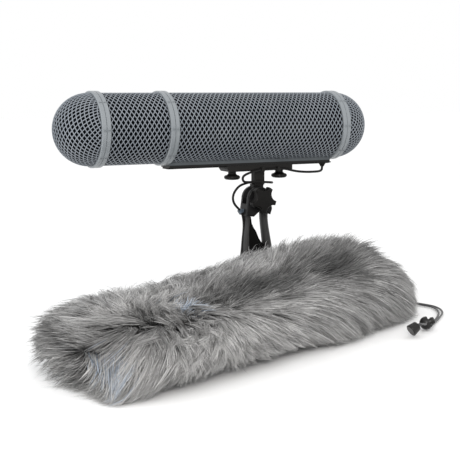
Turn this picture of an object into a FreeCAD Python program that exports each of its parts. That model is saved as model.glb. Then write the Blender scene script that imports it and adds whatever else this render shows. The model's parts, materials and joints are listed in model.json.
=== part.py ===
import FreeCAD, Part
import math
import os
import Sketcher
from FreeCAD import Vector, Rotation, Placement

# Modular basket windshield for a gun microphone on a pistol grip, with its long-haired
# cover taken off and lying on the floor beside it.
# Frame: origin in the mouth of the boom thread under the grip, +Z up, the basket's axis
# along X with its front dome at -X, and the cover on the -Y side.  Millimetres.

os.makedirs("parts", exist_ok=True)
doc = FreeCAD.newDocument("windshield_kit")

# ---------------------------------------------------------------- driving dimensions
SIZES = {
    "axis_height": 255.0, "section_radius": 50.4, "section_wall": 1.8, "lining_wall": 0.6,
    "joint_radius": 53.0, "joint_half_width": 6.7, "joint_bore": 47.4, "spigot_wall": 2.1,
    "spigot_reach": 5.0, "spigot_gap": 0.3, "notch_wide": 1.3, "notch_deep": 0.7,
    "front_joint": -256.1, "middle_joint": -155.4, "rear_joint": 129.0,
    "dome_radius": 50.4,
    "strip_front": -148.7, "strip_rear": 122.3, "strip_half": 15.0, "strip_bottom": 199.2,
    "rail_half": 10.0, "rail_bottom": 196.8, "rail_rear": 128.0, "slot_half": 3.7,
    "slot_reach": 108.0, "channel_half": 6.2, "channel_top": 203.2,
    "block_reach": 55.5, "block_half": 14.0, "block_bottom": 189.5, "block_top": 199.0,
    "block_floor": 196.4, "block_jaw": 10.4, "screw_station": 40.4,
    "stud_radius": 3.0, "stud_gap": 0.08, "knurl_radius": 12.0, "knurl_bottom": 177.0,
    "knurl_thick": 6.6, "stem_radius": 6.0,
    "pivot_height": 147.0, "pivot_radius": 4.0, "pivot_gap": 0.06, "cheek_radius": 19.0,
    "cheek_face": 12.0, "tongue_half": 5.6, "tongue_radius": 13.0, "washer_thick": 0.5,
    "knob_radius": 20.5, "knob_near": 13.5, "knob_far": 28.0, "flute_radius": 11.0,
    "flute_station": 24.5, "lobe_angle": -16.5,
    "bar_half": 6.0, "bar_bottom": 210.0, "bar_top": 213.0, "bar_front": -132.0,
    "bar_rear": 100.0, "clip_radius": 9.5, "clip_wall": 2.4, "lyre_width": 10.0,
    "front_lyre_x": -85.0, "rear_lyre_x": 30.0,
    "foot_high": 12.0, "foot_half": 17.0, "insert_radius": 7.0, "thread_radius": 4.0,
    "insert_deep": 15.0, "web_half": 5.5,
    "lead_radius": 1.8, "drawcord_radius": 1.25, "pile_deep": 30.0,
    "lock_radius": 8.6, "plunger_radius": 4.9, "plunger_gap": 0.1,
}
sheet = doc.addObject("Spreadsheet::Sheet", "sizes")
for row, (alias, value) in enumerate(SIZES.items(), 1):
    sheet.set("A%d" % row, alias)
    sheet.set("B%d" % row, str(value))
    sheet.setAlias("B%d" % row, alias)
doc.recompute()

nodes = {}            # node name -> the document object that holds its shape


def size(alias):
    """A driving dimension, read back from the sheet."""
    return float(getattr(sheet, alias))


def bind(thing, **expressions):
    """Bind properties of a document object to cells of the sheet."""
    for name, text in expressions.items():
        thing.setExpression(name.replace("__", "."), text)
    return thing


def keep(name, thing):
    """Give a finished sub-part its own name and remember it for export."""
    thing.Label = name
    nodes[name] = thing
    return thing


def place(thing, x=None, y=None, z=None, rotation=None):
    """Bind an object's position to expressions, and set its turn."""
    if rotation is not None:
        thing.Placement = Placement(Vector(0, 0, 0), rotation)
    for letter, text in (("x", x), ("y", y), ("z", z)):
        if text is not None:
            thing.setExpression("Placement.Base." + letter, str(text))
    return thing


def box(name, x, y, z, length, width, height):
    """A box whose low corner and sides are expressions."""
    block = doc.addObject("Part::Box", name)
    bind(block, Length=str(length), Width=str(width), Height=str(height))
    return place(block, x, y, z)


ALONG = {
    "x": Rotation(Vector(0, 0, 1), Vector(1, 0, 0)),
    "y": Rotation(Vector(0, 0, 1), Vector(0, 1, 0)),
    "z": Rotation(),
}


def rod(name, radius, height, x, y, z, along="z"):
    """A cylinder that starts at a point and runs along one axis."""
    stick = doc.addObject("Part::Cylinder", name)
    bind(stick, Radius=str(radius), Height=str(height))
    return place(stick, x, y, z, ALONG[along])


def cut(name, base, *tools):
    """Base less one or more tools."""
    tool = tools[0]
    if len(tools) > 1:
        tool = fuse(name + "_tools", *tools)
    result = doc.addObject("Part::Cut", name)
    result.Base = base
    result.Tool = tool
    return result


def fuse(name, *pieces):
    """Pieces moulded as one."""
    result = doc.addObject("Part::MultiFuse", name)
    result.Shapes = list(pieces)
    return result


def group(name, *pieces):
    """Separate solids of one kind that share a node."""
    result = doc.addObject("Part::Compound", name)
    result.Links = list(pieces)
    return keep(name, result)


def solid(name, shape, placement=Placement()):
    """A sub-part whose shape is worked out here, then placed."""
    thing = doc.addObject("Part::Feature", name)
    thing.Shape = shape
    thing.Placement = placement
    return thing


def origin_plane(body, role):
    return [o for o in body.Origin.OriginFeatures if o.Role == role][0]


def sketch_on(body, role, name):
    """A new sketch on one of its own body's origin planes."""
    drawing = body.newObject("Sketcher::SketchObject", name)
    drawing.AttachmentSupport = (origin_plane(body, role), [""])
    drawing.MapMode = "FlatFace"
    return drawing


def circle(drawing, radius, centre=(0, 0)):
    """A circle of a bound radius about the sketch's origin or a fixed point."""
    spot = Vector(centre[0], centre[1], 0)
    ring = drawing.addGeometry(Part.Circle(spot, Vector(0, 0, 1), 1.0), False)
    drawing.addConstraint(Sketcher.Constraint("DistanceX", -1, 1, ring, 3, centre[0]))
    drawing.addConstraint(Sketcher.Constraint("DistanceY", -1, 1, ring, 3, centre[1]))
    number = drawing.addConstraint(Sketcher.Constraint("Radius", ring, 1.0))
    drawing.setExpression("Constraints[%d]" % number, radius)
    return ring


def outline(drawing, points):
    """A closed run of straight lines through points."""
    for first, second in zip(points, points[1:] + points[:1]):
        drawing.addGeometry(Part.LineSegment(Vector(*first, 0), Vector(*second, 0)), False)


def revolve(body, drawing, axis="H_Axis"):
    turned = body.newObject("PartDesign::Revolution", drawing.Name + "_turned")
    turned.Profile = drawing
    turned.ReferenceAxis = (drawing, [axis])
    turned.Angle = 360.0
    return turned


def pad(body, drawing, length, midplane=False, reverse=False):
    feature = body.newObject("PartDesign::Pad", drawing.Name + "_pad")
    feature.Profile = drawing
    bind(feature, Length=str(length))
    feature.Midplane = midplane
    feature.Reversed = reverse
    return feature


def new_body(name):
    return doc.addObject("PartDesign::Body", name)


# ------------------------------------------------------------------------ flexible runs
def route_wire(points):
    """Straight runs joined by tangent arcs, each as large as its two runs allow."""
    corners = [Vector(*p) for p in points]
    edges = []
    radii = []
    start = corners[0]
    for before, here, after in zip(corners, corners[1:], corners[2:]):
        run_in = here - before
        run_out = after - here
        turn = run_in.getAngle(run_out)
        reach = 0.45 * min(run_in.Length, run_out.Length)
        radii.append(reach / math.tan(turn / 2))
        unit_in = Vector(run_in).normalize()
        unit_out = Vector(run_out).normalize()
        tangent_in = here - unit_in * reach
        tangent_out = here + unit_out * reach
        bisector = (unit_out - unit_in).normalize()
        centre = here + bisector * (reach / math.tan(turn / 2) / math.cos(turn / 2))
        middle = centre - bisector * radii[-1]
        edges.append(Part.LineSegment(start, tangent_in).toShape())
        edges.append(Part.Arc(tangent_in, middle, tangent_out).toShape())
        start = tangent_out
    edges.append(Part.LineSegment(start, corners[-1]).toShape())
    return Part.Wire(edges), radii


def tube_shape(points, radius, label):
    """A round tube along a route; prints its length, bends and volume check."""
    path, radii = route_wire(points)
    heading = Vector(*points[1]) - Vector(*points[0])
    profile = Part.Wire(Part.Circle(Vector(*points[0]), heading, radius).toShape())
    shape = path.makePipeShell([profile], True, False)
    ideal = math.pi * radius ** 2 * path.Length
    print("%s: length %.0f mm, tightest bend %.1f mm, volume ratio %.3f"
          % (label, path.Length, min(radii), shape.Volume / ideal))
    return shape


# ================================================================== BASKET SECTIONS
def section_tube(name, outer, wall, front, rear, tools=()):
    """A thin-walled tube section between two planes across the axis."""
    outside = rod(name + "_outside", outer, "(%s) - (%s)" % (rear, front), front, "0",
                  "sizes.axis_height", "x")
    inside = rod(name + "_inside", "(%s) - (%s)" % (outer, wall),
                 "(%s) - (%s) + 2" % (rear, front), "(%s) - 1" % front, "0",
                 "sizes.axis_height", "x")
    return keep(name, cut(name, outside, inside, *tools))


def joint_half(name, station, toward_rear, spigot):
    """Half of a bayonet joint ring: a band with eight notches and, on one side, a spigot."""
    body = new_body(name)
    turned_profile = sketch_on(body, "XZ_Plane", name + "_profile")
    outer = size("joint_radius")
    bore = size("joint_bore")
    width = size("joint_half_width")
    if spigot:
        inner = bore - size("spigot_gap") - size("spigot_wall")
        mid = bore - size("spigot_gap")
        reach = -size("spigot_reach")
        points = [(0.15, outer - 0.6), (0.75, outer), (width - 1.2, outer),
                  (width, outer - 1.2), (width, inner), (reach, inner), (reach, mid),
                  (0.15, mid)]
    else:
        points = [(0.15, outer - 0.6), (0.75, outer), (width - 1.2, outer),
                  (width, outer - 1.2), (width, bore), (0.15, bore)]
    outline(turned_profile, points)
    revolve(body, turned_profile)
    doc.recompute()
    notch = sketch_on(body, "XY_Plane", name + "_notch")
    half = size("notch_wide") / 2
    outline(notch, [(1.4, -half), (width - 1.6, -half), (width - 1.6, half), (1.4, half)])
    notch.AttachmentOffset = Placement(Vector(0, 0, outer - size("notch_deep")), Rotation())
    groove = body.newObject("PartDesign::Pocket", name + "_groove")
    groove.Profile = notch
    groove.Length = 5.0
    groove.Reversed = True
    doc.recompute()
    pattern = body.newObject("PartDesign::PolarPattern", name + "_notches")
    pattern.Originals = [groove]
    pattern.Axis = (turned_profile, ["H_Axis"])
    pattern.Angle = 360.0
    pattern.Occurrences = 8
    body.Tip = pattern
    turn = Rotation() if toward_rear else Rotation(Vector(0, 0, 1), 180)
    place(body, station, "0", "sizes.axis_height", turn)
    return keep(name, body)


def dome(name, radius, wall, station, forward):
    """A hemispherical cap as a shell, its rim on a plane across the axis."""
    body = new_body(name)
    arc = sketch_on(body, "XZ_Plane", name + "_profile")
    outer = size("dome_radius") - radius
    inner = outer - wall
    centre = Vector(0, 0, 0)
    flat = Vector(0, 0, 1)
    quarter = (0.0, math.pi / 2)
    arc.addGeometry(Part.ArcOfCircle(Part.Circle(centre, flat, outer), *quarter), False)
    arc.addGeometry(Part.LineSegment(Vector(0, outer, 0), Vector(0, inner, 0)), False)
    arc.addGeometry(Part.ArcOfCircle(Part.Circle(centre, flat, inner), *quarter), False)
    arc.addGeometry(Part.LineSegment(Vector(inner, 0, 0), Vector(outer, 0, 0)), False)
    revolve(body, arc)
    turn = Rotation(Vector(0, 0, 1), 180) if forward else Rotation()
    place(body, station, "0", "sizes.axis_height", turn)
    return keep(name, body)


HALF = "sizes.joint_half_width"
BAR_SCREWS = (-110.0, -20.0, 84.0)

# Screws that hold the inner bar through lining, tube and strip, and their holes
screw_shanks = []
screw_holes = []
for number, x in enumerate(BAR_SCREWS):
    shank = rod("bar_shank_%d" % number, "2", "10.2", x, "0", "203.4")
    head = rod("bar_head_%d" % number, "3.6", "1.8", x, "0", "sizes.bar_top")
    screw_shanks.append(fuse("bar_screw_%d" % number, shank, head))
    screw_holes.append(rod("bar_hole_%d" % number, "2", "12", x, "0", "202"))
group("bar_screws", *screw_shanks)

LEAD_HOLE = rod("lead_hole", "sizes.lead_radius + 0.3", "30", "118", "0", "190")

section_tube("main_tube", "sizes.section_radius", "sizes.section_wall",
             "sizes.middle_joint + " + HALF, "sizes.rear_joint - " + HALF,
             [fuse("main_tube_holes", *screw_holes, LEAD_HOLE)])
section_tube("main_lining", "sizes.section_radius - sizes.section_wall", "sizes.lining_wall",
             "sizes.middle_joint + " + HALF, "sizes.rear_joint - " + HALF,
             [fuse("main_lining_holes", *screw_holes, LEAD_HOLE)])
section_tube("front_tube", "sizes.section_radius", "sizes.section_wall",
             "sizes.front_joint + " + HALF, "sizes.middle_joint - " + HALF)
section_tube("front_lining", "sizes.section_radius - sizes.section_wall",
             "sizes.lining_wall", "sizes.front_joint + " + HALF,
             "sizes.middle_joint - " + HALF)
dome("front_dome", 0.0, size("section_wall"), "sizes.front_joint - " + HALF, True)
dome("front_dome_lining", size("section_wall"), size("lining_wall"),
     "sizes.front_joint - " + HALF, True)
dome("rear_dome", 0.0, size("section_wall"), "sizes.rear_joint + " + HALF, False)
dome("rear_dome_lining", size("section_wall"), size("lining_wall"),
     "sizes.rear_joint + " + HALF, False)
joint_half("front_dome_ring", "sizes.front_joint", False, False)
joint_half("front_tube_front_ring", "sizes.front_joint", True, True)
joint_half("front_tube_rear_ring", "sizes.middle_joint", False, False)
joint_half("main_front_ring", "sizes.middle_joint", True, True)
joint_half("main_rear_ring", "sizes.rear_joint", False, True)
joint_half("rear_dome_ring", "sizes.rear_joint", True, False)

# ------------------------------------------------------------------- keel of the basket
strip_blank = box("strip_blank", "sizes.strip_front", "-sizes.strip_half",
                  "sizes.strip_bottom", "sizes.strip_rear - sizes.strip_front",
                  "2 * sizes.strip_half", "9")
strip_seat = rod("strip_seat", "sizes.section_radius", "400", "-200", "0",
                 "sizes.axis_height", "x")
strip_channel = box("strip_channel", "-sizes.slot_reach", "-sizes.channel_half",
                    "sizes.strip_bottom - 1", "2 * sizes.slot_reach",
                    "2 * sizes.channel_half", "sizes.channel_top - sizes.strip_bottom + 1")
keep("keel_strip", cut("keel_strip", strip_blank, strip_seat, strip_channel,
                       fuse("strip_holes", *screw_holes, LEAD_HOLE)))

rail = new_body("keel_rail")
rail_plan = sketch_on(rail, "XZ_Plane", "rail_plan")
outline(rail_plan, [(size("strip_front"), size("rail_bottom")),
                    (size("rail_rear") - 6, size("rail_bottom")),
                    (size("rail_rear"), size("rail_bottom") + 1.2),
                    (size("rail_rear"), size("strip_bottom")),
                    (size("strip_front"), size("strip_bottom"))])
pad(rail, rail_plan, "2 * sizes.rail_half", midplane=True)
doc.recompute()
rail_slot = sketch_on(rail, "XY_Plane", "rail_slot")
outline(rail_slot, [(-size("slot_reach"), -size("slot_half")),
                    (size("slot_reach"), -size("slot_half")),
                    (size("slot_reach"), size("slot_half")),
                    (-size("slot_reach"), size("slot_half"))])
slot_cut = rail.newObject("PartDesign::Pocket", "rail_slot_cut")
slot_cut.Profile = rail_slot
slot_cut.Length = 260.0
slot_cut.Reversed = True
doc.recompute()
keep("keel_rail", cut("keel_rail_drilled", rail, LEAD_HOLE))

# --------------------------------------------------- gland and lead inside the basket
gland_collar = rod("gland_collar", "5", "2.2", "118", "0", "sizes.rail_bottom - 2.2")
gland_nose = doc.addObject("Part::Cone", "gland_nose")
bind(gland_nose, Radius1="2.9", Radius2="4.2", Height="3.2")
place(gland_nose, "118", "0", "sizes.rail_bottom - 5.4")
gland_bore = rod("gland_bore", "sizes.lead_radius", "30", "118", "0", "180")
keep("lead_gland", cut("lead_gland", fuse("gland_blank", gland_collar, gland_nose),
                       gland_bore))

PLUG_FRONT = 56.0
mic_shell = rod("mic_shell", "9.4", "36", PLUG_FRONT, "0", "sizes.axis_height", "x")
mic_boot = doc.addObject("Part::Cone", "mic_boot")
bind(mic_boot, Radius1="7.5", Radius2="3", Height="12")
place(mic_boot, PLUG_FRONT + 36, "0", "sizes.axis_height", ALONG["x"])
mic_recess = rod("mic_recess", "7.6", "14", PLUG_FRONT - 1, "0", "sizes.axis_height", "x")
keep("mic_plug", cut("mic_plug", fuse("mic_plug_blank", mic_shell, mic_boot), mic_recess))

INNER_LEAD = [(104, 0, 255), (114, 0, 255), (123.5, 0.4, 251.5), (129, 0.5, 243),
              (128.5, 0.3, 233), (123.5, 0.1, 224), (119, 0, 214.5), (118, 0, 204),
              (118, 0, 191.4)]
keep("inner_lead", solid("inner_lead", tube_shape(INNER_LEAD, size("lead_radius"),
                                                  "inner_lead")))

# --------------------------------------------------------------- inner suspension bar
bar_blank = box("bar_blank", "sizes.bar_front", "-sizes.bar_half", "sizes.bar_bottom",
                "sizes.bar_rear - sizes.bar_front", "2 * sizes.bar_half",
                "sizes.bar_top - sizes.bar_bottom")
bar_spacers = []
for number, x in enumerate(BAR_SCREWS):
    bar_spacers.append(rod("bar_spacer_%d" % number, "3.2", "sizes.bar_bottom - 207.45",
                           x, "0", "207.45"))
keep("inner_bar", cut("inner_bar", fuse("bar_and_spacers", bar_blank, *bar_spacers),
                      *screw_holes))


def lyre(name, station):
    """A flexible lyre: carriage on the bar, two looped arms and a mic clip."""
    x = "sizes.%s" % station
    gap = 0.35
    carriage = box(name + "_blank", x + " - 8", "-9", "208.5", "16", "18", "9.5")
    bar_way = box(name + "_bar_way", x + " - 9", "-sizes.bar_half - %s" % gap,
                  "sizes.bar_bottom - %s" % gap, "18", "2 * sizes.bar_half + 2 * %s" % gap,
                  "sizes.bar_top - sizes.bar_bottom + 2.6")
    foot_way = box(name + "_foot_way", x + " - 9", "-4.3", "200", "18", "8.6", "12")
    keep(name + "_carriage", cut(name + "_carriage", carriage, bar_way, foot_way))
    centre = size("axis_height")
    wide = size("lyre_width")
    begin = size(station) - wide / 2
    rim = size("clip_radius")
    arms = []
    for side in (-1, 1):
        route = [(0, side * 3, 219), (0, side * 12, 219.5), (0, side * 25, 226),
                 (0, side * 33, 241), (0, side * 33, 258), (0, side * 25, 268),
                 (0, side * 17, 263.5), (0, side * (rim + 1.5), centre)]
        path, _ = route_wire(route)
        path.translate(Vector(begin, 0, 0))
        strip = [Vector(begin, side * 3, 218), Vector(begin, side * 3, 220),
                 Vector(begin + wide, side * 3, 220), Vector(begin + wide, side * 3, 218)]
        profile = Part.makePolygon(strip + strip[:1])
        arms.append(path.makePipeShell([profile], True, False))
    bridge = Part.makeBox(wide, 8, 2.0, Vector(begin, -4, 218))
    ring = Part.makeCylinder(rim + size("clip_wall"), wide, Vector(begin, 0, centre),
                             Vector(1, 0, 0))
    bore = Part.makeCylinder(rim, wide + 2, Vector(begin - 1, 0, centre), Vector(1, 0, 0))
    mouth = Part.makeBox(wide + 2, 11, 20, Vector(begin - 1, -5.5, centre))
    whole = arms[0].fuse([arms[1], bridge, ring]).cut([bore, mouth]).removeSplitter()
    return keep(name + "_hoop", solid(name + "_hoop", whole))


lyre("front_lyre", "front_lyre_x")
lyre("rear_lyre", "rear_lyre_x")

# ============================================================================== HEAD
block = new_body("mount_block_blank")
block_side = sketch_on(block, "XZ_Plane", "block_side")
reach = size("block_reach")
outline(block_side, [(-reach + 3.5, size("block_bottom")), (reach, size("block_bottom")),
                     (reach, size("block_top")), (-reach, size("block_top")),
                     (-reach, size("block_bottom") + 4.5)])
pad(block, block_side, "2 * sizes.block_half", midplane=True)
doc.recompute()
block_solid = block.Tip
softened = block.newObject("PartDesign::Fillet", "block_edges")
low_edges = []
for number, edge in enumerate(block_solid.Shape.Edges, 1):
    if edge.BoundBox.ZMax < size("block_bottom") + 0.01:
        low_edges.append("Edge%d" % number)
softened.Base = (block_solid, low_edges)
softened.Radius = 1.2
doc.recompute()
jaw_way = box("jaw_way", "-sizes.block_reach - 1", "-sizes.block_jaw", "sizes.block_floor",
              "2 * sizes.block_reach + 2", "2 * sizes.block_jaw", "10")
stud_ways = []
for number, side in enumerate((-1, 1)):
    stud_ways.append(rod("stud_way_%d" % number, "sizes.stud_radius + sizes.stud_gap", "12",
                         "%d * sizes.screw_station" % side, "0", "186"))
keep("mount_block", cut("mount_block", block, jaw_way, *stud_ways))

nuts = []
for number, side in enumerate((-1, 1)):
    nut = box("nut_blank_%d" % number, "%d * sizes.screw_station - 6.5" % side, "-5.7",
              "sizes.strip_bottom + 0.4", "13", "11.4", "3.2")
    way = rod("nut_way_%d" % number, "sizes.stud_radius + sizes.stud_gap", "12",
              "%d * sizes.screw_station" % side, "0", "195")
    nuts.append(cut("nut_%d" % number, nut, way))
group("clamp_nuts", *nuts)

for name, side in (("front_screw", -1), ("rear_screw", 1)):
    station = "%d * sizes.screw_station" % side
    knob_body = new_body(name + "_knob")
    knurl = sketch_on(knob_body, "XZ_Plane", name + "_profile")
    top = size("knurl_thick")
    wide = size("knurl_radius")
    stem = size("stem_radius")
    seat = size("block_bottom") - size("knurl_bottom") - 0.3
    outline(knurl, [(size("stud_radius"), 0.8), (wide * 0.55, 0.0), (wide - 2.2, 0.5),
                    (wide - 0.4, 2.0), (wide, 3.2), (wide - 0.3, top - 1.4),
                    (wide - 1.8, top - 0.3), (stem + 1.6, top + 0.6), (stem, top + 2.0),
                    (stem, seat), (size("stud_radius"), seat)])
    revolve(knob_body, knurl, "V_Axis")
    doc.recompute()
    dent = sketch_on(knob_body, "XY_Plane", name + "_dent")
    circle(dent, "1.1", (wide + 0.35, 0.0))
    dent_cut = knob_body.newObject("PartDesign::Pocket", name + "_dent_cut")
    dent_cut.Profile = dent
    dent_cut.Length = top + 3
    dent_cut.Reversed = True
    doc.recompute()
    dents = knob_body.newObject("PartDesign::PolarPattern", name + "_dents")
    dents.Originals = [dent_cut]
    dents.Axis = (knurl, ["V_Axis"])
    dents.Angle = 360.0
    dents.Occurrences = 20
    knob_body.Tip = dents
    place(knob_body, station, "0", "sizes.knurl_bottom")
    keep(name + "_knob", knob_body)
    keep(name + "_stud", rod(name + "_stud", "sizes.stud_radius", "24.9", station, "0",
                             "sizes.knurl_bottom + 0.9"))

# Neck and tongue of the tilting head
NECK_FRONT = -5.0
NECK_REAR = 12.0
NECK_HALF = 7.0
NECK_BASE = 168.0
tongue_eye = rod("tongue_eye", "sizes.tongue_radius", "2 * sizes.tongue_half", "0",
                 "-sizes.tongue_half", "sizes.pivot_height", "y")
tongue_web = box("tongue_web", NECK_FRONT - 2, "-sizes.tongue_half", "sizes.pivot_height",
                 NECK_REAR - NECK_FRONT, "2 * sizes.tongue_half", "22")
neck = box("neck", NECK_FRONT, -NECK_HALF, NECK_BASE, NECK_REAR - NECK_FRONT,
           2 * NECK_HALF, "sizes.block_bottom - %s" % NECK_BASE)
neck_soft = doc.addObject("Part::Fillet", "neck_soft")
neck_soft.Base = neck
doc.recompute()
upright = []
for number, edge in enumerate(neck.Shape.Edges, 1):
    if abs(edge.BoundBox.ZLength - (size("block_bottom") - NECK_BASE)) < 0.01:
        upright.append((number, 2.4, 2.4))
neck_soft.Edges = upright
tongue_bore = rod("tongue_bore", "sizes.pivot_radius + sizes.pivot_gap", "40", "0", "-20",
                  "sizes.pivot_height", "y")
keep("head_tongue", cut("head_tongue", fuse("tongue_blank", tongue_eye, tongue_web,
                                            neck_soft), tongue_bore))

washers = []
for number, start in enumerate(("sizes.tongue_half",
                                "-sizes.tongue_half - sizes.washer_thick")):
    disc = rod("washer_disc_%d" % number, "11", "sizes.washer_thick", "0", start,
               "sizes.pivot_height", "y")
    eye = rod("washer_eye_%d" % number, "sizes.pivot_radius + 0.1", "4", "0",
              start + " - 1", "sizes.pivot_height", "y")
    washers.append(cut("washer_%d" % number, disc, eye))
group("friction_washers", *washers)

# Two lead clips on the face of the block
LEAD_Y = -16.1
CLIP_Z = 191.7
clips = []
for number, x in enumerate((0.0, 27.0)):
    shoulder = box("clip_blank_%d" % number, x, "-18.9", "188.8", "5", "4.9", "6.2")
    eye = rod("clip_eye_%d" % number, "sizes.lead_radius + 0.06", "8", x - 1.5,
              LEAD_Y, CLIP_Z, "x")
    clips.append(cut("lead_clip_%d" % number, shoulder, eye))
group("block_clips", *clips)

# ============================================================================= HANDLE
web = new_body("handle_core_blank")
web_side = sketch_on(web, "XZ_Plane", "web_side")
outline(web_side, [(-17.5, 6), (20, 6), (19, 40), (17.5, 76), (10, 78), (6.5, 81),
                   (2.4, 87), (-2.7, 98.5), (-5.9, 102.5), (-9.7, 110), (-11.3, 120.4),
                   (-15.5, 120.4), (-16.5, 100), (-17.8, 72)])
pad(web, web_side, "2 * sizes.web_half", midplane=True)
foot_plan = sketch_on(web, "XY_Plane", "foot_plan")
foot_half = size("foot_half")
FOOT_FRONT = -29.0
FOOT_REAR = 33.0
rounding = 12.0
flat = Vector(0, 0, 1)
corners = []
for sign_x, sign_y in ((1, 1), (-1, 1), (-1, -1), (1, -1)):
    end = FOOT_REAR if sign_x > 0 else FOOT_FRONT
    corners.append(Vector(end - sign_x * rounding, sign_y * (foot_half - rounding), 0))
for number, corner in enumerate(corners):
    first = number * math.pi / 2
    foot_plan.addGeometry(Part.ArcOfCircle(Part.Circle(corner, flat, rounding), first,
                                           first + math.pi / 2), False)
    following = corners[(number + 1) % 4]
    spoke = Vector(math.cos(first + math.pi / 2), math.sin(first + math.pi / 2), 0)
    foot_plan.addGeometry(Part.LineSegment(corner + spoke * rounding,
                                           following + spoke * rounding), False)
pad(web, foot_plan, "sizes.foot_high")
doc.recompute()
foot_edges = []
for number, edge in enumerate(web.Tip.Shape.Edges, 1):
    bounds = edge.BoundBox
    on_rim = bounds.ZLength < 0.01 and abs(bounds.ZMin - size("foot_high")) < 0.01
    under_web = bounds.XMin > -18 and bounds.XMax < 21 and bounds.YMax - bounds.YMin < 12
    if on_rim and not (under_web and abs(bounds.Center.y) < 6):
        foot_edges.append("Edge%d" % number)
foot_solid = web.Tip
foot_soft = web.newObject("PartDesign::Fillet", "foot_soft")
foot_soft.Base = (foot_solid, foot_edges)
foot_soft.Radius = 4.0
doc.recompute()
insert_way = rod("insert_way", "sizes.insert_radius", "sizes.insert_deep + 1", "0", "0",
                 "-1")
keep("handle_core", cut("handle_core", web, insert_way))
insert_blank = rod("insert_blank", "sizes.insert_radius", "sizes.insert_deep", "0", "0", "0")
insert_bore = rod("insert_bore", "sizes.thread_radius", "13", "0", "0", "-1")
keep("thread_insert", cut("thread_insert", insert_blank, insert_bore))

# Lead from the clip on the handle, down the front strut and along the floor to its plug
LEAD_TAIL = [(-29.5, -0.8, 132.6), (-24.5, -0.3, 128.1), (-21.6, 0, 119.6),
             (-20.3, 0, 109), (-20.9, 0, 97), (-22.4, 0, 85), (-23.4, 0, 71), (-25.2, 0, 58),
             (-28.8, 1.2, 45.5), (-34, 4, 33.5), (-41, 8.4, 22.4), (-50.5, 14.6, 12.6),
             (-62, 21.5, 5.6), (-74, 29.5, 2.2), (-84.5, 40.5, 2.0), (-89, 54.5, 2.0),
             (-84.5, 68.5, 2.0), (-73.5, 78.5, 2.0), (-61, 83.6, 3.4), (-50.5, 86.6, 7.4),
             (-41, 88.4, 9.5), (-31.5, 89.4, 9.5)]
PLUG_START = Vector(-31.5, 89.4, 9.5)


def strut(name, stations, tools):
    """A rubber-covered strut: oval sections lofted up the handle."""
    rings = []
    for height, middle, wide, deep in stations:
        oval = Part.Ellipse(Vector(middle, deep / 2, height), Vector(middle + wide / 2, 0, height),
                            Vector(middle, 0, height))
        rings.append(Part.Wire(oval.toShape()))
    blank = solid(name + "_blank", Part.makeLoft(rings, True, False))
    return keep(name, cut(name, blank, *tools))


lead_way_points = LEAD_TAIL[1:9]
lead_way = solid("lead_way", tube_shape(lead_way_points, size("lead_radius") + 0.12,
                                        "lead_way"))
FRONT_STRUT = [(11.9, -20.5, 14, 23), (40, -19.6, 12.4, 19), (71, -17.9, 10.9, 16),
               (88, -17.4, 9.8, 14.5), (105, -16.2, 8.2, 13.5), (124, -15.6, 10, 14.5)]
REAR_STRUT = [(11.9, 24.5, 14.5, 24), (40, 22.4, 14, 21), (81, 18.5, 13.3, 18),
              (103, 15.0, 12, 16.4), (126, 13.3, 12.3, 17)]
strut("front_grip", FRONT_STRUT, [nodes["handle_core"], lead_way])
strut("rear_grip", REAR_STRUT, [nodes["handle_core"]])

# Yoke on top of the struts: two round cheeks, a saddle and a leg over each strut
yoke = new_body("yoke_blank")
yoke_side = sketch_on(yoke, "XZ_Plane", "yoke_side")
rise = size("pivot_height")
round_out = size("cheek_radius")
leg_points = [(-round_out, rise), (-22.6, 122.6), (-8.8, 120.6), (3.6, 130.6), (6.0, 130.6),
              (19.6, 122.6), (22.6, 131.5), (round_out, rise)]
for first, second in zip(leg_points, leg_points[1:]):
    yoke_side.addGeometry(Part.LineSegment(Vector(*first, 0), Vector(*second, 0)), False)
crown = Part.Circle(Vector(0, rise, 0), flat, round_out)
yoke_side.addGeometry(Part.ArcOfCircle(crown, 0.0, math.pi), False)
pad(yoke, yoke_side, "2 * sizes.cheek_face", midplane=True)
doc.recompute()
yoke_solid = yoke.Tip
yoke_soft = yoke.newObject("PartDesign::Fillet", "yoke_soft")
face_edges = []
for number, edge in enumerate(yoke_solid.Shape.Edges, 1):
    if edge.BoundBox.YLength < 0.01:
        face_edges.append("Edge%d" % number)
yoke_soft.Base = (yoke_solid, face_edges)
yoke_soft.Radius = 2.0
doc.recompute()
cheek_gap = "sizes.tongue_half + sizes.washer_thick + 0.1"
tongue_way = fuse("tongue_way",
                  box("tongue_way_top", "-40", "-(%s)" % cheek_gap, "sizes.pivot_height",
                      "80", "2 * (%s)" % cheek_gap, "40"),
                  rod("tongue_way_round", "sizes.tongue_radius + 0.8", "2 * (%s)" % cheek_gap,
                      "0", "-(%s)" % cheek_gap, "sizes.pivot_height", "y"),
                  box("tongue_way_front", "-40", "-(%s)" % cheek_gap, "140", "40",
                      "2 * (%s)" % cheek_gap, "30"),
                  box("tongue_way_rear", "0", "-(%s)" % cheek_gap, "140", "40",
                      "2 * (%s)" % cheek_gap, "30"))
bolt_way = rod("bolt_way", "sizes.pivot_radius", "60", "0", "-30", "sizes.pivot_height", "y")
keep("yoke", cut("yoke", yoke, tongue_way, bolt_way, nodes["front_grip"],
                 nodes["rear_grip"], lead_way, nodes["handle_core"]))

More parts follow.
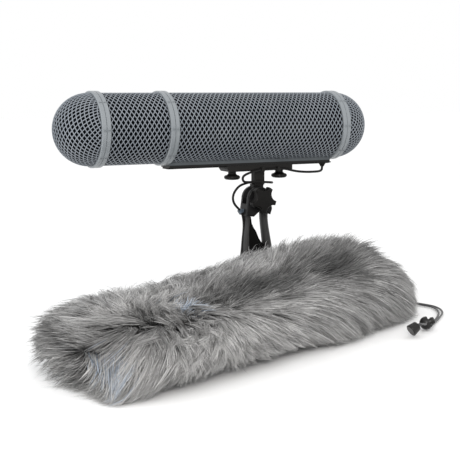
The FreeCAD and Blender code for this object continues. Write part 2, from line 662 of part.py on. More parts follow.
bolt_shank = rod("bolt_shank", "sizes.pivot_radius", "38.5", "0", "-25.5",
                 "sizes.pivot_height", "y")
bolt_head = doc.addObject("Part::Prism", "bolt_head")
bolt_head.Polygon = 6
bind(bolt_head, Circumradius="7.5", Height="5")
place(bolt_head, "0", "sizes.cheek_face", "sizes.pivot_height", ALONG["y"])
keep("pivot_bolt", fuse("pivot_bolt", bolt_shank, bolt_head))
washer_disc = rod("knob_washer_disc", "8.5", "1.1", "0", "-sizes.cheek_face - 1.1",
                  "sizes.pivot_height", "y")
keep("knob_washer", cut("knob_washer", washer_disc, bolt_way))

# Small clip that holds the lead to the front leg of the yoke
clip_axis = Vector(4.5, 0.4, -6.2)
clip_spot = Vector(-28.4, -0.7, 131.1)
clip_ring = Part.makeCylinder(3.7, 5.0, clip_spot, clip_axis)
clip_stem = Part.makeBox(7.5, 4.4, 4.6, Vector(-27.5, -2.2, 127.6))
clip_bore = Part.makeCylinder(size("lead_radius") + 0.02, 12, clip_spot - clip_axis * 0.4,
                              clip_axis)
tail_blank = solid("lead_tail_blank", tube_shape(LEAD_TAIL, size("lead_radius"), "lead_tail"))
cable_clip_blank = solid("cable_clip_blank", clip_ring.fuse(clip_stem).cut(clip_bore))
keep("cable_clip", cut("cable_clip", cable_clip_blank, nodes["yoke"], tail_blank))
keep("lead_tail", tail_blank)

plug_axis = (Vector(*LEAD_TAIL[-1]) - Vector(*LEAD_TAIL[-2])).normalize()
plug_boot = Part.makeCone(3.0, 7.2, 14, PLUG_START, plug_axis)
plug_barrel = Part.makeCylinder(9.3, 40, PLUG_START + plug_axis * 14,
                                plug_axis)
plug_recess = Part.makeCylinder(8.1, 15, PLUG_START + plug_axis * 40,
                                plug_axis)
keep("lead_plug", solid("lead_plug", plug_boot.fuse(plug_barrel).cut(plug_recess)))
pins = []
for turn in (30, 150, 270):
    across = Vector(-plug_axis.y, plug_axis.x, 0)
    offset = across * (3.4 * math.cos(math.radians(turn)))
    offset.z = 3.4 * math.sin(math.radians(turn))
    pins.append(Part.makeCylinder(1.2, 12, PLUG_START + plug_axis * 40 + offset, plug_axis))
keep("plug_pins", solid("plug_pins", Part.makeCompound(pins)))

# Clamping knob of the tilt, five lobes
knob = new_body("clamp_knob_blank")
knob_plan = sketch_on(knob, "XZ_Plane", "knob_plan")
circle(knob_plan, "sizes.knob_radius")
pad(knob, knob_plan, "sizes.knob_far - sizes.knob_near - 3")
doc.recompute()
flute = sketch_on(knob, "XZ_Plane", "knob_flute")
circle(flute, "sizes.flute_radius", (size("flute_station"), 0.0))
flute_cut = knob.newObject("PartDesign::Pocket", "knob_flute_cut")
flute_cut.Profile = flute
flute_cut.Length = 40.0
flute_cut.Midplane = True
doc.recompute()
flutes = knob.newObject("PartDesign::PolarPattern", "knob_flutes")
flutes.Originals = [flute_cut]
flutes.Axis = (origin_plane(knob, "Y_Axis"), [""])
flutes.Angle = 360.0
flutes.Occurrences = 5
knob.Tip = flutes
doc.recompute()
knob_soft = knob.newObject("PartDesign::Fillet", "knob_soft")
rim_edges = []
for number, edge in enumerate(flutes.Shape.Edges, 1):
    if edge.BoundBox.YLength < 0.01:
        rim_edges.append("Edge%d" % number)
knob_soft.Base = (flutes, rim_edges)
knob_soft.Radius = 1.6
doc.recompute()
knob.Placement = Placement(Vector(0, 0, 0),
                           Rotation(Vector(0, 1, 0), -(size("lobe_angle") + 36)))
place(knob, "0", "-sizes.knob_near - 3", "sizes.pivot_height")
hub = rod("knob_hub", "10.5", "6", "0", "-sizes.knob_near - 6", "sizes.pivot_height", "y")
knob_way = rod("knob_way", "6", "12.5", "0", "-sizes.knob_near - 12.5",
               "sizes.pivot_height", "y")
keep("clamp_knob", cut("clamp_knob", fuse("knob_with_hub", knob, hub), knob_way))
brass = rod("brass", "6", "12.5", "0", "-sizes.knob_near - 12.5", "sizes.pivot_height", "y")
brass_bore = rod("brass_bore", "sizes.pivot_radius + sizes.pivot_gap", "40", "0", "-40",
                 "sizes.pivot_height", "y")
keep("knob_insert", cut("knob_insert", brass, brass_bore))

# =============================================================== LEAD OVER THE JOINTS
LEAD_REAR = [(118, 0, 191.4), (118, 0, 188.4), (115.4, -2.6, 185.6),
             (108.4, -7.0, 184.4), (96.5, -11.4, 184.5), (82, -14.6, 184.9),
             (66, -16.0, 186.2), (52, -16.3, 188.8), (41.5, -16.1, 191.7),
             (32.0, -16.1, 191.7)]
LEAD_WRAP = [(32.0, -16.1, 191.7), (16, -16.1, 191.7), (-0.5, -16.13, 191.6),
             (-9.5, -17.0, 190.5), (-16, -18.0, 188.9), (-22.6, -18.7, 187.2),
             (-28.6, -19, 185.1), (-31.8, -19, 182.9), (-32.8, -18.7, 179.2),
             (-31.2, -18.1, 175.8), (-27.6, -17.4, 174.1), (-20, -16.1, 173.6),
             (-10, -14.4, 173.4), (2, -13.6, 172.9),
             (13, -13.0, 172.0), (22, -10.0, 170.9), (26.8, -3.2, 170.2),
             (26.2, 5.0, 170.0), (19.5, 10.8, 170.1), (9, 12.8, 170.3), (-2, 11.8, 170.4),
             (-11, 7.8, 170.2), (-19, 3.4, 169.2)]
LEAD_LOOP = [(-19, 3.4, 169.2), (-26.6, -0.78, 168.25), (-33.6, -2.2, 163.6),
             (-38.9, -2.6, 157.0), (-40.6, -2.4, 149.2), (-38.6, -1.9, 142.4),
             (-34.5, -1.3, 137.1), (-29.5, -0.8, 132.6)]
keep("lead_rear", solid("lead_rear", tube_shape(LEAD_REAR, size("lead_radius"), "lead_rear")))
keep("lead_wrap", solid("lead_wrap", tube_shape(LEAD_WRAP, size("lead_radius"), "lead_wrap")))
keep("lead_loop", solid("lead_loop", tube_shape(LEAD_LOOP, size("lead_radius"), "lead_loop")))

# ======================================================================= FUR COVER
# Stations along the lying cover: middle x, y and z, half width and half height
COVER = [(-411, -338, 34, 24, 16), (-399, -335, 36, 62, 32), (-362, -326, 42, 96, 40.5),
         (-280, -304, 43, 103, 41.5), (-180, -268, 45, 101, 43.5), (-85, -224, 45, 99, 43.5),
         (5, -183, 46, 95, 44.5), (82, -152, 44, 86, 42.5), (128, -137, 36, 58, 33),
         (146, -132, 28, 24, 16)]


def cover_shape(inset):
    """The lying cover, or what is left of it under a given depth of pile."""
    rings = []
    last = len(COVER) - 1
    first_kept = 0 if inset == 0 else 2
    for number in range(first_kept, last + 1 - first_kept):
        x, y, z, wide, high = COVER[number]
        ahead = COVER[min(number + 1, last)]
        behind = COVER[max(number - 1, 0)]
        heading = Vector(ahead[0] - behind[0], ahead[1] - behind[1], 0).normalize()
        across = Vector(-heading.y, heading.x, 0)
        middle = Vector(x, y, z)
        oval = Part.Ellipse(middle + across * (wide - inset),
                            middle + Vector(0, 0, high - inset), middle)
        rings.append(Part.Wire(oval.toShape()))
    return Part.makeLoft(rings, True, False)


backing = solid("cover_backing", cover_shape(size("pile_deep")))
pile_blank = solid("pile_blank", cover_shape(0))
hem_start = Vector(140, -143, 16)
hem_end = Vector(157, -152, 10)
hem_shape = Part.makeCone(8, 4.6, (hem_end - hem_start).Length, hem_start,
                          hem_end - hem_start)
hem_blank = solid("hem_blank", hem_shape)
keep("cover_backing", backing)
keep("fur_pile", cut("fur_pile", pile_blank, backing, hem_blank))
keep("cord_hem", hem_blank)

DRAWCORD_A = [(157.7, -150.7, 10), (162.3, -153.1, 8.4), (166.4, -158.4, 5.2),
              (169.2, -166, 2.4), (172.6, -176, 1.4), (177.6, -187.4, 1.4), (181, -200, 1.4),
              (179.4, -213.6, 1.4), (174, -227.2, 1.4), (165.4, -240, 1.4), (154, -251, 1.4),
              (142, -261.4, 1.4), (130, -271.6, 1.4), (118, -281.6, 1.9),
              (106.5, -291.8, 2.9), (98.6, -299.4, 4.0), (91.6, -306.2, 4.6)]
DRAWCORD_B = [(156.3, -153.3, 10), (160.9, -155.7, 8.4), (163.9, -161.4, 4.9),
              (166.0, -169, 2.2), (168.8, -178.8, 1.4), (173.6, -190.2, 1.4),
              (176.4, -201.8, 1.4), (173.6, -214.2, 1.4), (167.4, -227.4, 1.4),
              (158.8, -239.6, 1.4), (149.5, -249.6, 1.4), (139.8, -259.4, 1.4),
              (128.1, -269.5, 1.4), (116.1, -279.5, 1.9), (104.6, -289.7, 2.9),
              (96.7, -297.3, 4.0), (91.1, -302.9, 4.6)]
CORD_TAIL_A = [(77.5, -308.5, 9.2), (72.4, -312.8, 10.2), (66.6, -317.8, 12.2),
               (60.8, -322.6, 14.4), (54.8, -325.2, 14.6), (49.8, -324.9, 11.6)]
CORD_TAIL_B = [(79.2, -310.8, 9.2), (74.2, -315.0, 10.2), (68.4, -320.0, 12.2),
               (62.4, -325.0, 14.4), (55.4, -328.0, 14.6), (49.8, -327.7, 11.6)]
cord_radius = size("drawcord_radius")
drawcord_a = solid("drawcord_a", tube_shape(DRAWCORD_A, cord_radius, "drawcord_a"))
drawcord_b = solid("drawcord_b", tube_shape(DRAWCORD_B, cord_radius, "drawcord_b"))
tails = []
for route in (CORD_TAIL_A, CORD_TAIL_B):
    tails.append(tube_shape(route, cord_radius, "drawcord_tail"))
drawcord_tail = solid("drawcord_tail", Part.makeCompound(tails))
cords = [drawcord_a, drawcord_b, drawcord_tail]

# Cord lock: a ball cut flat under its button, with a spring behind the plunger
LOCK_SPOT = Vector(84.5, -304.2, 8.8)
LOCK_AXIS = Vector(0.82, -0.43, 0.36).normalize()
FLAT_AT = 3.4
ball_radius = size("lock_radius")
plunger = size("plunger_radius")
ball = Part.makeSphere(ball_radius, LOCK_SPOT)
beyond = Part.makeCylinder(12, 12, LOCK_SPOT + LOCK_AXIS * FLAT_AT, LOCK_AXIS)
plunger_way = Part.makeCylinder(plunger - 0.9 + size("plunger_gap"), 12,
                                LOCK_SPOT - LOCK_AXIS * 5, LOCK_AXIS)
lock_blank = solid("lock_blank", ball.cut([beyond, plunger_way]))
keep("lock_body", cut("lock_body", lock_blank, *cords))
shank = Part.makeCylinder(plunger - 0.9, 8, LOCK_SPOT - LOCK_AXIS * 0.4, LOCK_AXIS)
cap = Part.makeCone(plunger + 0.2, plunger - 0.6, 4.6, LOCK_SPOT + LOCK_AXIS * 6.6, LOCK_AXIS)
cap_edges = [edge for edge in cap.Edges if edge.Length > 20]
cap = cap.makeFillet(0.8, cap_edges)
keep("lock_button", solid("lock_button", shank.fuse(cap).removeSplitter()))
COIL_HIGH = 3.8
coil_path = Part.makeHelix(1.1, COIL_HIGH, 2.9)
coil_profile = Part.Wire(Part.Circle(Vector(2.9, 0, 0), Vector(0, 1, 0), 0.3).toShape())
coil = Part.Wire(coil_path).makePipeShell([coil_profile], True, False)
spring_turn = Rotation(Vector(0, 0, 1), LOCK_AXIS)
keep("lock_spring", solid("lock_spring", coil,
                          Placement(LOCK_SPOT - LOCK_AXIS * 4.6, spring_turn)))

# Bell-shaped end piece of the drawcord, resting on its rim
BELL_RIM = Vector(42.8, -325.6, 7.4)
BELL_AXIS = Vector(0.855, -0.052, 0.515).normalize()
bell = Part.makeCone(8.0, 6.0, 12.0)
bell = bell.makeFillet(1.2, [edge for edge in bell.Edges if edge.Length > 20])
bell_blank = solid("bell_blank", bell,
                   Placement(BELL_RIM, Rotation(Vector(0, 0, 1), BELL_AXIS)))
keep("cord_end", cut("cord_end", bell_blank, drawcord_tail))
keep("drawcord_a", drawcord_a)
keep("drawcord_b", drawcord_b)
keep("drawcord_tail", drawcord_tail)

# ---------------------------------------------------------------- test and write out
doc.recompute()
for thing in doc.Objects:
    if "Invalid" in thing.State or "Error" in thing.State:
        raise RuntimeError("%s failed: %s" % (thing.Label, thing.State))
for name, thing in nodes.items():
    shape = thing.Shape
    if shape.isNull() or not shape.isValid() or not shape.Solids:
        raise RuntimeError("%s has no valid solid" % name)
    shape.exportStep("parts/%s.step" % name)
print("%d nodes written" % len(nodes))
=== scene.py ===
import json
import math

import bpy
import numpy as np
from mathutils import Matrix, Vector, noise


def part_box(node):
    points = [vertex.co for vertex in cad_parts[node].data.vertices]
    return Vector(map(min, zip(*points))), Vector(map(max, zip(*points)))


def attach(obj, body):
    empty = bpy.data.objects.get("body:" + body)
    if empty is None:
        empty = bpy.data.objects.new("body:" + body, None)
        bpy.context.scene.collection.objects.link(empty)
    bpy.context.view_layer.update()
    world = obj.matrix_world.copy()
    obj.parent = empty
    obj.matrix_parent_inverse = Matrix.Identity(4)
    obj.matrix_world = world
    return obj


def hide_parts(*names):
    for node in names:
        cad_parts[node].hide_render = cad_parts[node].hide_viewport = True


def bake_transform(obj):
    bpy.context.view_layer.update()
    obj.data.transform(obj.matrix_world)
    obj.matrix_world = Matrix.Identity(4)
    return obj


# Looks of a modular basket windshield on its pistol grip, with its long-haired cover lying
# in front of it.  Metres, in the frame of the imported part: +Z up, X along the basket.

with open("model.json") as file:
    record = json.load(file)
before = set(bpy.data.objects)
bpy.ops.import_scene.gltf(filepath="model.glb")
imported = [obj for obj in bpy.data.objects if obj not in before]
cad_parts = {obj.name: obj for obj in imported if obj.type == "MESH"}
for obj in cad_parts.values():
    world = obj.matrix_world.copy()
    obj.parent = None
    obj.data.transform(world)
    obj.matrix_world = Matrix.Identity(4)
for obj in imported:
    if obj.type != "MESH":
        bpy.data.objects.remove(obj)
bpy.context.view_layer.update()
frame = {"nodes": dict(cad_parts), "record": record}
NODES = frame["nodes"]

# ------------------------------------------------------------------------- camera
CAMERA_SPOT = Vector((-0.7324, -1.3115, 0.3093))
CAMERA_AIM = Vector((-0.0439, 0.0, 0.1016))
SENSOR_MM = 36.0
LENS_MM = 78.26
camera = bpy.data.objects.new("camera", bpy.data.cameras.new("camera"))
bpy.context.scene.collection.objects.link(camera)
camera.data.sensor_width = SENSOR_MM
camera.data.lens = LENS_MM
camera.location = CAMERA_SPOT
camera.rotation_mode = "QUATERNION"
camera.rotation_quaternion = (CAMERA_AIM - CAMERA_SPOT).to_track_quat("-Z", "Y")
bpy.context.scene.camera = camera


# ---------------------------------------------------------------------- materials
BAND_PITCH = 0.31            # spacing of the wave texture's bands at a scale of 1
EDGE_FROM = 0.52             # pointiness at which an edge starts to look worn, and is fully so
EDGE_TO = 0.62
MOTTLE = 22.0                # scale of the slow mottling in moulded parts


def new_material(name):
    """A material with its node tree and shader."""
    material = bpy.data.materials.new(name)
    material.use_nodes = True
    return material, material.node_tree, material.node_tree.nodes["Principled BSDF"]


def noise_node(tree, scale, detail=4.0, stretch=(1, 1, 1)):
    """Noise over the object's own coordinates, stretched along the axes."""
    place = tree.nodes.new("ShaderNodeTexCoord")
    mapping = tree.nodes.new("ShaderNodeMapping")
    mapping.inputs["Scale"].default_value = stretch
    texture = tree.nodes.new("ShaderNodeTexNoise")
    texture.inputs["Scale"].default_value = scale
    texture.inputs["Detail"].default_value = detail
    tree.links.new(place.outputs["Object"], mapping.inputs["Vector"])
    tree.links.new(mapping.outputs["Vector"], texture.inputs["Vector"])
    return texture.outputs["Fac"]


def remap(tree, value, low, high, first=0.3, last=0.7):
    """A value between two numbers, from a factor between first and last."""
    node = tree.nodes.new("ShaderNodeMapRange")
    node.inputs["From Min"].default_value = first
    node.inputs["From Max"].default_value = last
    node.inputs["To Min"].default_value = low
    node.inputs["To Max"].default_value = high
    tree.links.new(value, node.inputs["Value"])
    return node.outputs["Result"]


def two_tone(tree, factor, dark, light, first=0.3, last=0.7):
    """A colour between dark and light."""
    scale = tree.nodes.new("ShaderNodeValToRGB")
    for stop, position, colour in zip(scale.color_ramp.elements, (first, last), (dark, light)):
        stop.position = position
        stop.color = (*colour, 1)
    tree.links.new(factor, scale.inputs["Fac"])
    return scale.outputs["Color"]


def add_bump(tree, shader, height, strength, distance):
    """Fine relief on a shader."""
    bump = tree.nodes.new("ShaderNodeBump")
    bump.inputs["Strength"].default_value = strength
    bump.inputs["Distance"].default_value = distance
    tree.links.new(height, bump.inputs["Height"])
    tree.links.new(bump.outputs["Normal"], shader.inputs["Normal"])


def edge_wear(tree, colour, worn, amount):
    """Lighter colour where the surface bends outwards, as on handled edges."""
    geometry = tree.nodes.new("ShaderNodeNewGeometry")
    share = remap(tree, geometry.outputs["Pointiness"], 0.0, amount, EDGE_FROM, EDGE_TO)
    mix = tree.nodes.new("ShaderNodeMixRGB")
    tree.links.new(share, mix.inputs["Fac"])
    tree.links.new(colour, mix.inputs["Color1"])
    mix.inputs["Color2"].default_value = (*worn, 1)
    return mix.outputs["Color"]


def moulded(name, dark, light, rough, grain=900.0, relief=0.00012, worn=None, strength=0.35,
            shine=0.5):
    """Moulded plastic or rubber: slow mottling, fine grain and worn edges."""
    material, tree, shader = new_material(name)
    colour = two_tone(tree, noise_node(tree, MOTTLE), dark, light)
    if worn is not None:
        colour = edge_wear(tree, colour, worn, 0.6)
    tree.links.new(colour, shader.inputs["Base Color"])
    grit = noise_node(tree, grain, 3.0)
    tree.links.new(remap(tree, noise_node(tree, 60.0), rough - 0.07, rough + 0.09),
                   shader.inputs["Roughness"])
    shader.inputs["Specular IOR Level"].default_value = shine
    add_bump(tree, shader, grit, strength, relief)
    return material


def brushed(name, dark, light, rough, stretch):
    """Metal with fine lines left by machining."""
    material, tree, shader = new_material(name)
    lines = noise_node(tree, 500.0, 3.0, stretch)
    tree.links.new(two_tone(tree, lines, dark, light), shader.inputs["Base Color"])
    shader.inputs["Metallic"].default_value = 1.0
    tree.links.new(remap(tree, lines, rough, rough + 0.15), shader.inputs["Roughness"])
    add_bump(tree, shader, lines, 0.2, 0.00005)
    return material


def threads(tree, spots, pitch, unevenness, direction="X"):
    """Heights of parallel threads, one pitch apart."""
    wave = tree.nodes.new("ShaderNodeTexWave")
    wave.bands_direction = direction
    wave.inputs["Scale"].default_value = BAND_PITCH / pitch
    wave.inputs["Distortion"].default_value = unevenness
    tree.links.new(spots, wave.inputs["Vector"])
    return wave.outputs["Fac"]


def crossed(tree, first, second, operation):
    """Heights of two sets of threads that cross."""
    joined = tree.nodes.new("ShaderNodeMath")
    joined.operation = operation
    tree.links.new(first, joined.inputs[0])
    tree.links.new(second, joined.inputs[1])
    return joined.outputs["Value"]


def woven(name, dark, light, pitch, rough=0.9, sheen=0.3, shine=0.3):
    """Cloth with crossing threads."""
    material, tree, shader = new_material(name)
    place = tree.nodes.new("ShaderNodeTexCoord").outputs["Object"]
    height = crossed(tree, threads(tree, place, pitch, 0.6, "X"),
                     threads(tree, place, pitch, 0.6, "Z"), "MULTIPLY")
    tree.links.new(two_tone(tree, height, dark, light, 0.1, 0.8), shader.inputs["Base Color"])
    shader.inputs["Roughness"].default_value = rough
    shader.inputs["Sheen Weight"].default_value = sheen
    shader.inputs["Specular IOR Level"].default_value = shine
    add_bump(tree, shader, height, 0.5, pitch * 0.3)
    return material


def braided(name, dark, light, pitch):
    """Braided cord: crossing diagonal yarns round the cord."""
    material, tree, shader = new_material(name)
    place = tree.nodes.new("ShaderNodeTexCoord")
    yarns = []
    for lean in (1.0, -1.0):
        mapping = tree.nodes.new("ShaderNodeMapping")
        mapping.inputs["Rotation"].default_value = (0.0, lean * 0.6, lean * 0.8)
        tree.links.new(place.outputs["Object"], mapping.inputs["Vector"])
        yarns.append(threads(tree, mapping.outputs["Vector"], pitch, 0.8))
    height = crossed(tree, *yarns, "MAXIMUM")
    tree.links.new(two_tone(tree, height, dark, light, 0.2, 0.9), shader.inputs["Base Color"])
    shader.inputs["Roughness"].default_value = 0.85
    shader.inputs["Sheen Weight"].default_value = 0.25
    add_bump(tree, shader, height, 0.6, pitch * 0.35)
    return material


def trim_shaded_below(name, shade_top, dark, light):
    """Moulded trim with painted shade: its lower edge is painted near black, up to a height in
    the object's own frame, for the shade along that edge.
    """
    material, tree, shader = new_material(name)
    place = tree.nodes.new("ShaderNodeTexCoord")
    parts = tree.nodes.new("ShaderNodeSeparateXYZ")
    tree.links.new(place.outputs["Object"], parts.inputs["Vector"])
    above = remap(tree, parts.outputs["Z"], 0.0, 1.0, shade_top, shade_top + 0.0004)
    mottle = two_tone(tree, noise_node(tree, MOTTLE), dark, light)
    mix = tree.nodes.new("ShaderNodeMixRGB")
    # painted shade: near black below the height, for the shade along the trim's lower edge
    mix.inputs["Color1"].default_value = (0.006, 0.006, 0.006, 1)
    tree.links.new(above, mix.inputs["Fac"])
    tree.links.new(mottle, mix.inputs["Color2"])
    tree.links.new(mix.outputs["Color"], shader.inputs["Base Color"])
    shader.inputs["Roughness"].default_value = 0.42
    shader.inputs["Specular IOR Level"].default_value = 0.2
    add_bump(tree, shader, noise_node(tree, 500.0, 3.0), 0.35, 0.00008)
    return material


MESH_PLASTIC = moulded("mesh_plastic", (0.146, 0.165, 0.188), (0.190, 0.208, 0.232), 0.42,
                       700.0, 0.00006)
RING_PLASTIC = moulded("ring_plastic", (0.150, 0.166, 0.179), (0.184, 0.200, 0.213), 0.30,
                       500.0, 0.00008, worn=(0.28, 0.30, 0.315))
LINING_CLOTH = woven("lining_cloth", (0.001, 0.0014, 0.002), (0.0040, 0.0056, 0.0075), 0.0007,
                     1.0, 0.0, 0.03)
BLACK_PLASTIC = moulded("black_plastic", (0.0035, 0.0034, 0.0033), (0.0075, 0.0070, 0.0066), 0.42,
                        1100.0, 0.0001, worn=(0.020, 0.019, 0.018), shine=0.10)
KNOB_PLASTIC = moulded("knob_plastic", (0.0040, 0.0038, 0.0036), (0.0075, 0.0070, 0.0064), 0.36,
                       1400.0, 0.0001, worn=(0.024, 0.023, 0.022), shine=0.12)
# The handle web's black plastic, painted darker than the other black parts as painted shade in
# its recess between the struts
SHADED_WEB_PLASTIC = moulded("shaded_web_plastic", (0.0020, 0.0020, 0.0019), (0.0045, 0.0042, 0.0040), 0.55,
                      900.0, 0.00012, shine=0.05)
YOKE_CASTING = moulded("yoke_casting", (0.0035, 0.0035, 0.0036), (0.0080, 0.0080, 0.0082), 0.32,
                       800.0, 0.00012, worn=(0.030, 0.030, 0.031), shine=0.16)
GRIP_RUBBER = moulded("grip_rubber", (0.021, 0.0205, 0.020), (0.036, 0.0355, 0.035), 0.42,
                      1600.0, 0.00016, worn=(0.060, 0.060, 0.060), shine=0.25)
LEAD_RUBBER = moulded("lead_rubber", (0.0045, 0.0042, 0.0040), (0.0085, 0.0080, 0.0076), 0.38,
                      1500.0, 0.00006, shine=0.18)
CLIP_PLASTIC = moulded("clip_plastic", (0.060, 0.078, 0.10), (0.080, 0.10, 0.125), 0.34,
                       900.0, 0.00008)
LOCK_PLASTIC = moulded("lock_plastic", (0.0060, 0.0056, 0.0054), (0.011, 0.0105, 0.0100), 0.26,
                       1200.0, 0.00005, worn=(0.035, 0.034, 0.033), shine=0.3)
LYRE_PLASTIC = moulded("lyre_plastic", (0.016, 0.017, 0.019), (0.026, 0.027, 0.030), 0.36)
STEEL = brushed("steel", (0.42, 0.43, 0.45), (0.62, 0.63, 0.65), 0.22, (1, 1, 12))
SHELL_METAL = brushed("shell_metal", (0.30, 0.31, 0.33), (0.46, 0.47, 0.49), 0.28, (12, 1, 1))
ALUMINIUM = brushed("aluminium", (0.50, 0.51, 0.53), (0.66, 0.67, 0.69), 0.30, (0.1, 8, 8))
BRASS = brushed("brass", (0.56, 0.40, 0.17), (0.78, 0.60, 0.30), 0.22, (1, 1, 12))
HEM_CLOTH = woven("hem_cloth", (0.010, 0.010, 0.011), (0.035, 0.035, 0.037), 0.0006)
# painted shade along the trim's lower edge, below 0.2022 m
TRIM_PLASTIC = trim_shaded_below("trim_plastic", 0.2022, (0.060, 0.068, 0.075), (0.088, 0.098, 0.106))
CORD_BRAID = braided("cord_braid", (0.006, 0.006, 0.007), (0.026, 0.026, 0.028), 0.0006)

# Finishes by the record's slots; the fur's CAD solid is replaced, so its slot has none
FINISH = {
    "basket_mesh": MESH_PLASTIC, "basket_lining": LINING_CLOTH, "joint_rings": RING_PLASTIC,
    "keel_trim": TRIM_PLASTIC, "black_plastic": BLACK_PLASTIC, "handle_web": SHADED_WEB_PLASTIC,
    "grip_rubber": GRIP_RUBBER, "yoke_casting": YOKE_CASTING, "steel": STEEL,
    "brass": BRASS, "bar_aluminium": ALUMINIUM, "lyre_plastic": LYRE_PLASTIC,
    "lead_jacket": LEAD_RUBBER, "connector_shell": SHELL_METAL, "cable_clip": CLIP_PLASTIC,
    "cover_backing": HEM_CLOTH, "drawcord": CORD_BRAID, "cord_lock": LOCK_PLASTIC,
}


def finish_nodes():
    """Gives each CAD node the finish of its slot in the record."""
    for row in frame["record"]["subparts"]:
        material = FINISH.get(row["material_slot"])
        if material is None:
            continue
        for place in NODES[row["node"]].material_slots:
            place.material = material
    for name in ("clamp_knob", "front_screw_knob", "rear_screw_knob"):
        for place in NODES[name].material_slots:
            place.material = KNOB_PLASTIC


finish_nodes()

# -------------------------------------------------------------------------- cords
LEAD_TAIL = [
    (-0.0295, -0.0008, 0.1326), (-0.0245, -0.0003, 0.1281), (-0.0216, 0, 0.1196),
    (-0.0203, 0, 0.109), (-0.0209, 0, 0.097), (-0.0224, 0, 0.085), (-0.0234, 0, 0.071),
    (-0.0252, 0, 0.058), (-0.0288, 0.0012, 0.0455), (-0.034, 0.004, 0.0335),
    (-0.041, 0.0084, 0.0224), (-0.0505, 0.0146, 0.0126), (-0.062, 0.0215, 0.0056),
    (-0.074, 0.0295, 0.0022), (-0.0845, 0.0405, 0.002), (-0.089, 0.0545, 0.002),
    (-0.0845, 0.0685, 0.002), (-0.0735, 0.0785, 0.002), (-0.061, 0.0836, 0.0034),
    (-0.0505, 0.0866, 0.0074), (-0.041, 0.0884, 0.0095), (-0.0315, 0.0894, 0.0095),
]
LEAD_REAR = [
    (0.118, 0, 0.1914), (0.118, 0, 0.1884), (0.1154, -0.0026, 0.1856), (0.1084, -0.007, 0.1844),
    (0.0965, -0.0114, 0.1845), (0.082, -0.0146, 0.1849), (0.066, -0.016, 0.1862),
    (0.052, -0.0163, 0.1888), (0.0415, -0.0161, 0.1917), (0.032, -0.0161, 0.1917),
]
LEAD_WRAP = [
    (0.032, -0.0161, 0.1917), (0.016, -0.0161, 0.1917), (-0.0005, -0.01613, 0.1916),
    (-0.0095, -0.017, 0.1905), (-0.016, -0.018, 0.1889), (-0.0226, -0.0187, 0.1872),
    (-0.0286, -0.019, 0.1851), (-0.0318, -0.019, 0.1829), (-0.0328, -0.0187, 0.1792),
    (-0.0312, -0.0181, 0.1758), (-0.0276, -0.0174, 0.1741), (-0.02, -0.0161, 0.1736),
    (-0.01, -0.0144, 0.1734), (0.002, -0.0136, 0.1729), (0.013, -0.013, 0.172),
    (0.022, -0.01, 0.1709), (0.0268, -0.0032, 0.1702), (0.0262, 0.005, 0.17),
    (0.0195, 0.0108, 0.1701), (0.009, 0.0128, 0.1703), (-0.002, 0.0118, 0.1704),
    (-0.011, 0.0078, 0.1702), (-0.019, 0.0034, 0.1692),
]
LEAD_LOOP = [
    (-0.019, 0.0034, 0.1692), (-0.0266, -0.00078, 0.16825), (-0.0336, -0.0022, 0.1636),
    (-0.0389, -0.0026, 0.157), (-0.0406, -0.0024, 0.1492), (-0.0386, -0.0019, 0.1424),
    (-0.0345, -0.0013, 0.1371), (-0.0295, -0.0008, 0.1326),
]
INNER_LEAD = [
    (0.118, 0, 0.1914), (0.118, 0, 0.204), (0.119, 0, 0.2145), (0.1235, 0.0001, 0.224),
    (0.1285, 0.0003, 0.233), (0.129, 0.0005, 0.243), (0.1235, 0.0004, 0.2515), (0.114, 0, 0.255),
    (0.104, 0, 0.255),
]
DRAWCORD_A = [
    (0.1577, -0.1507, 0.01), (0.1623, -0.1531, 0.0084), (0.1664, -0.1584, 0.0052),
    (0.1692, -0.166, 0.0024), (0.1726, -0.176, 0.0014), (0.1776, -0.1874, 0.0014),
    (0.181, -0.2, 0.0014), (0.1794, -0.2136, 0.0014), (0.174, -0.2272, 0.0014),
    (0.1654, -0.24, 0.0014), (0.154, -0.251, 0.0014), (0.142, -0.2614, 0.0014),
    (0.13, -0.2716, 0.0014), (0.118, -0.2816, 0.0019), (0.1065, -0.2918, 0.0029),
    (0.0986, -0.2994, 0.004), (0.0916, -0.3062, 0.0046),
]
DRAWCORD_B = [
    (0.1563, -0.1533, 0.01), (0.1609, -0.1557, 0.0084), (0.1639, -0.1614, 0.0049),
    (0.166, -0.169, 0.0022), (0.1688, -0.1788, 0.0014), (0.1736, -0.1902, 0.0014),
    (0.1764, -0.2018, 0.0014), (0.1736, -0.2142, 0.0014), (0.1674, -0.2274, 0.0014),
    (0.1588, -0.2396, 0.0014), (0.1495, -0.2496, 0.0014), (0.1398, -0.2594, 0.0014),
    (0.1281, -0.2695, 0.0014), (0.1161, -0.2795, 0.0019), (0.1046, -0.2897, 0.0029),
    (0.0967, -0.2973, 0.004), (0.0911, -0.3029, 0.0046),
]
CORD_TAIL_A = [
    (0.0775, -0.3085, 0.0092), (0.0724, -0.3128, 0.0102), (0.0666, -0.3178, 0.0122),
    (0.0608, -0.3226, 0.0144), (0.0548, -0.3252, 0.0146), (0.0498, -0.3249, 0.0116),
]
CORD_TAIL_B = [
    (0.0792, -0.3108, 0.0092), (0.0742, -0.315, 0.0102), (0.0684, -0.32, 0.0122),
    (0.0624, -0.325, 0.0144), (0.0554, -0.328, 0.0146), (0.0498, -0.3277, 0.0116),
]
LEAD_THICK = 0.0036
DRAWCORD_THICK = 0.0025
FINISH_OF_CORD = {LEAD_THICK: LEAD_RUBBER, DRAWCORD_THICK: CORD_BRAID}


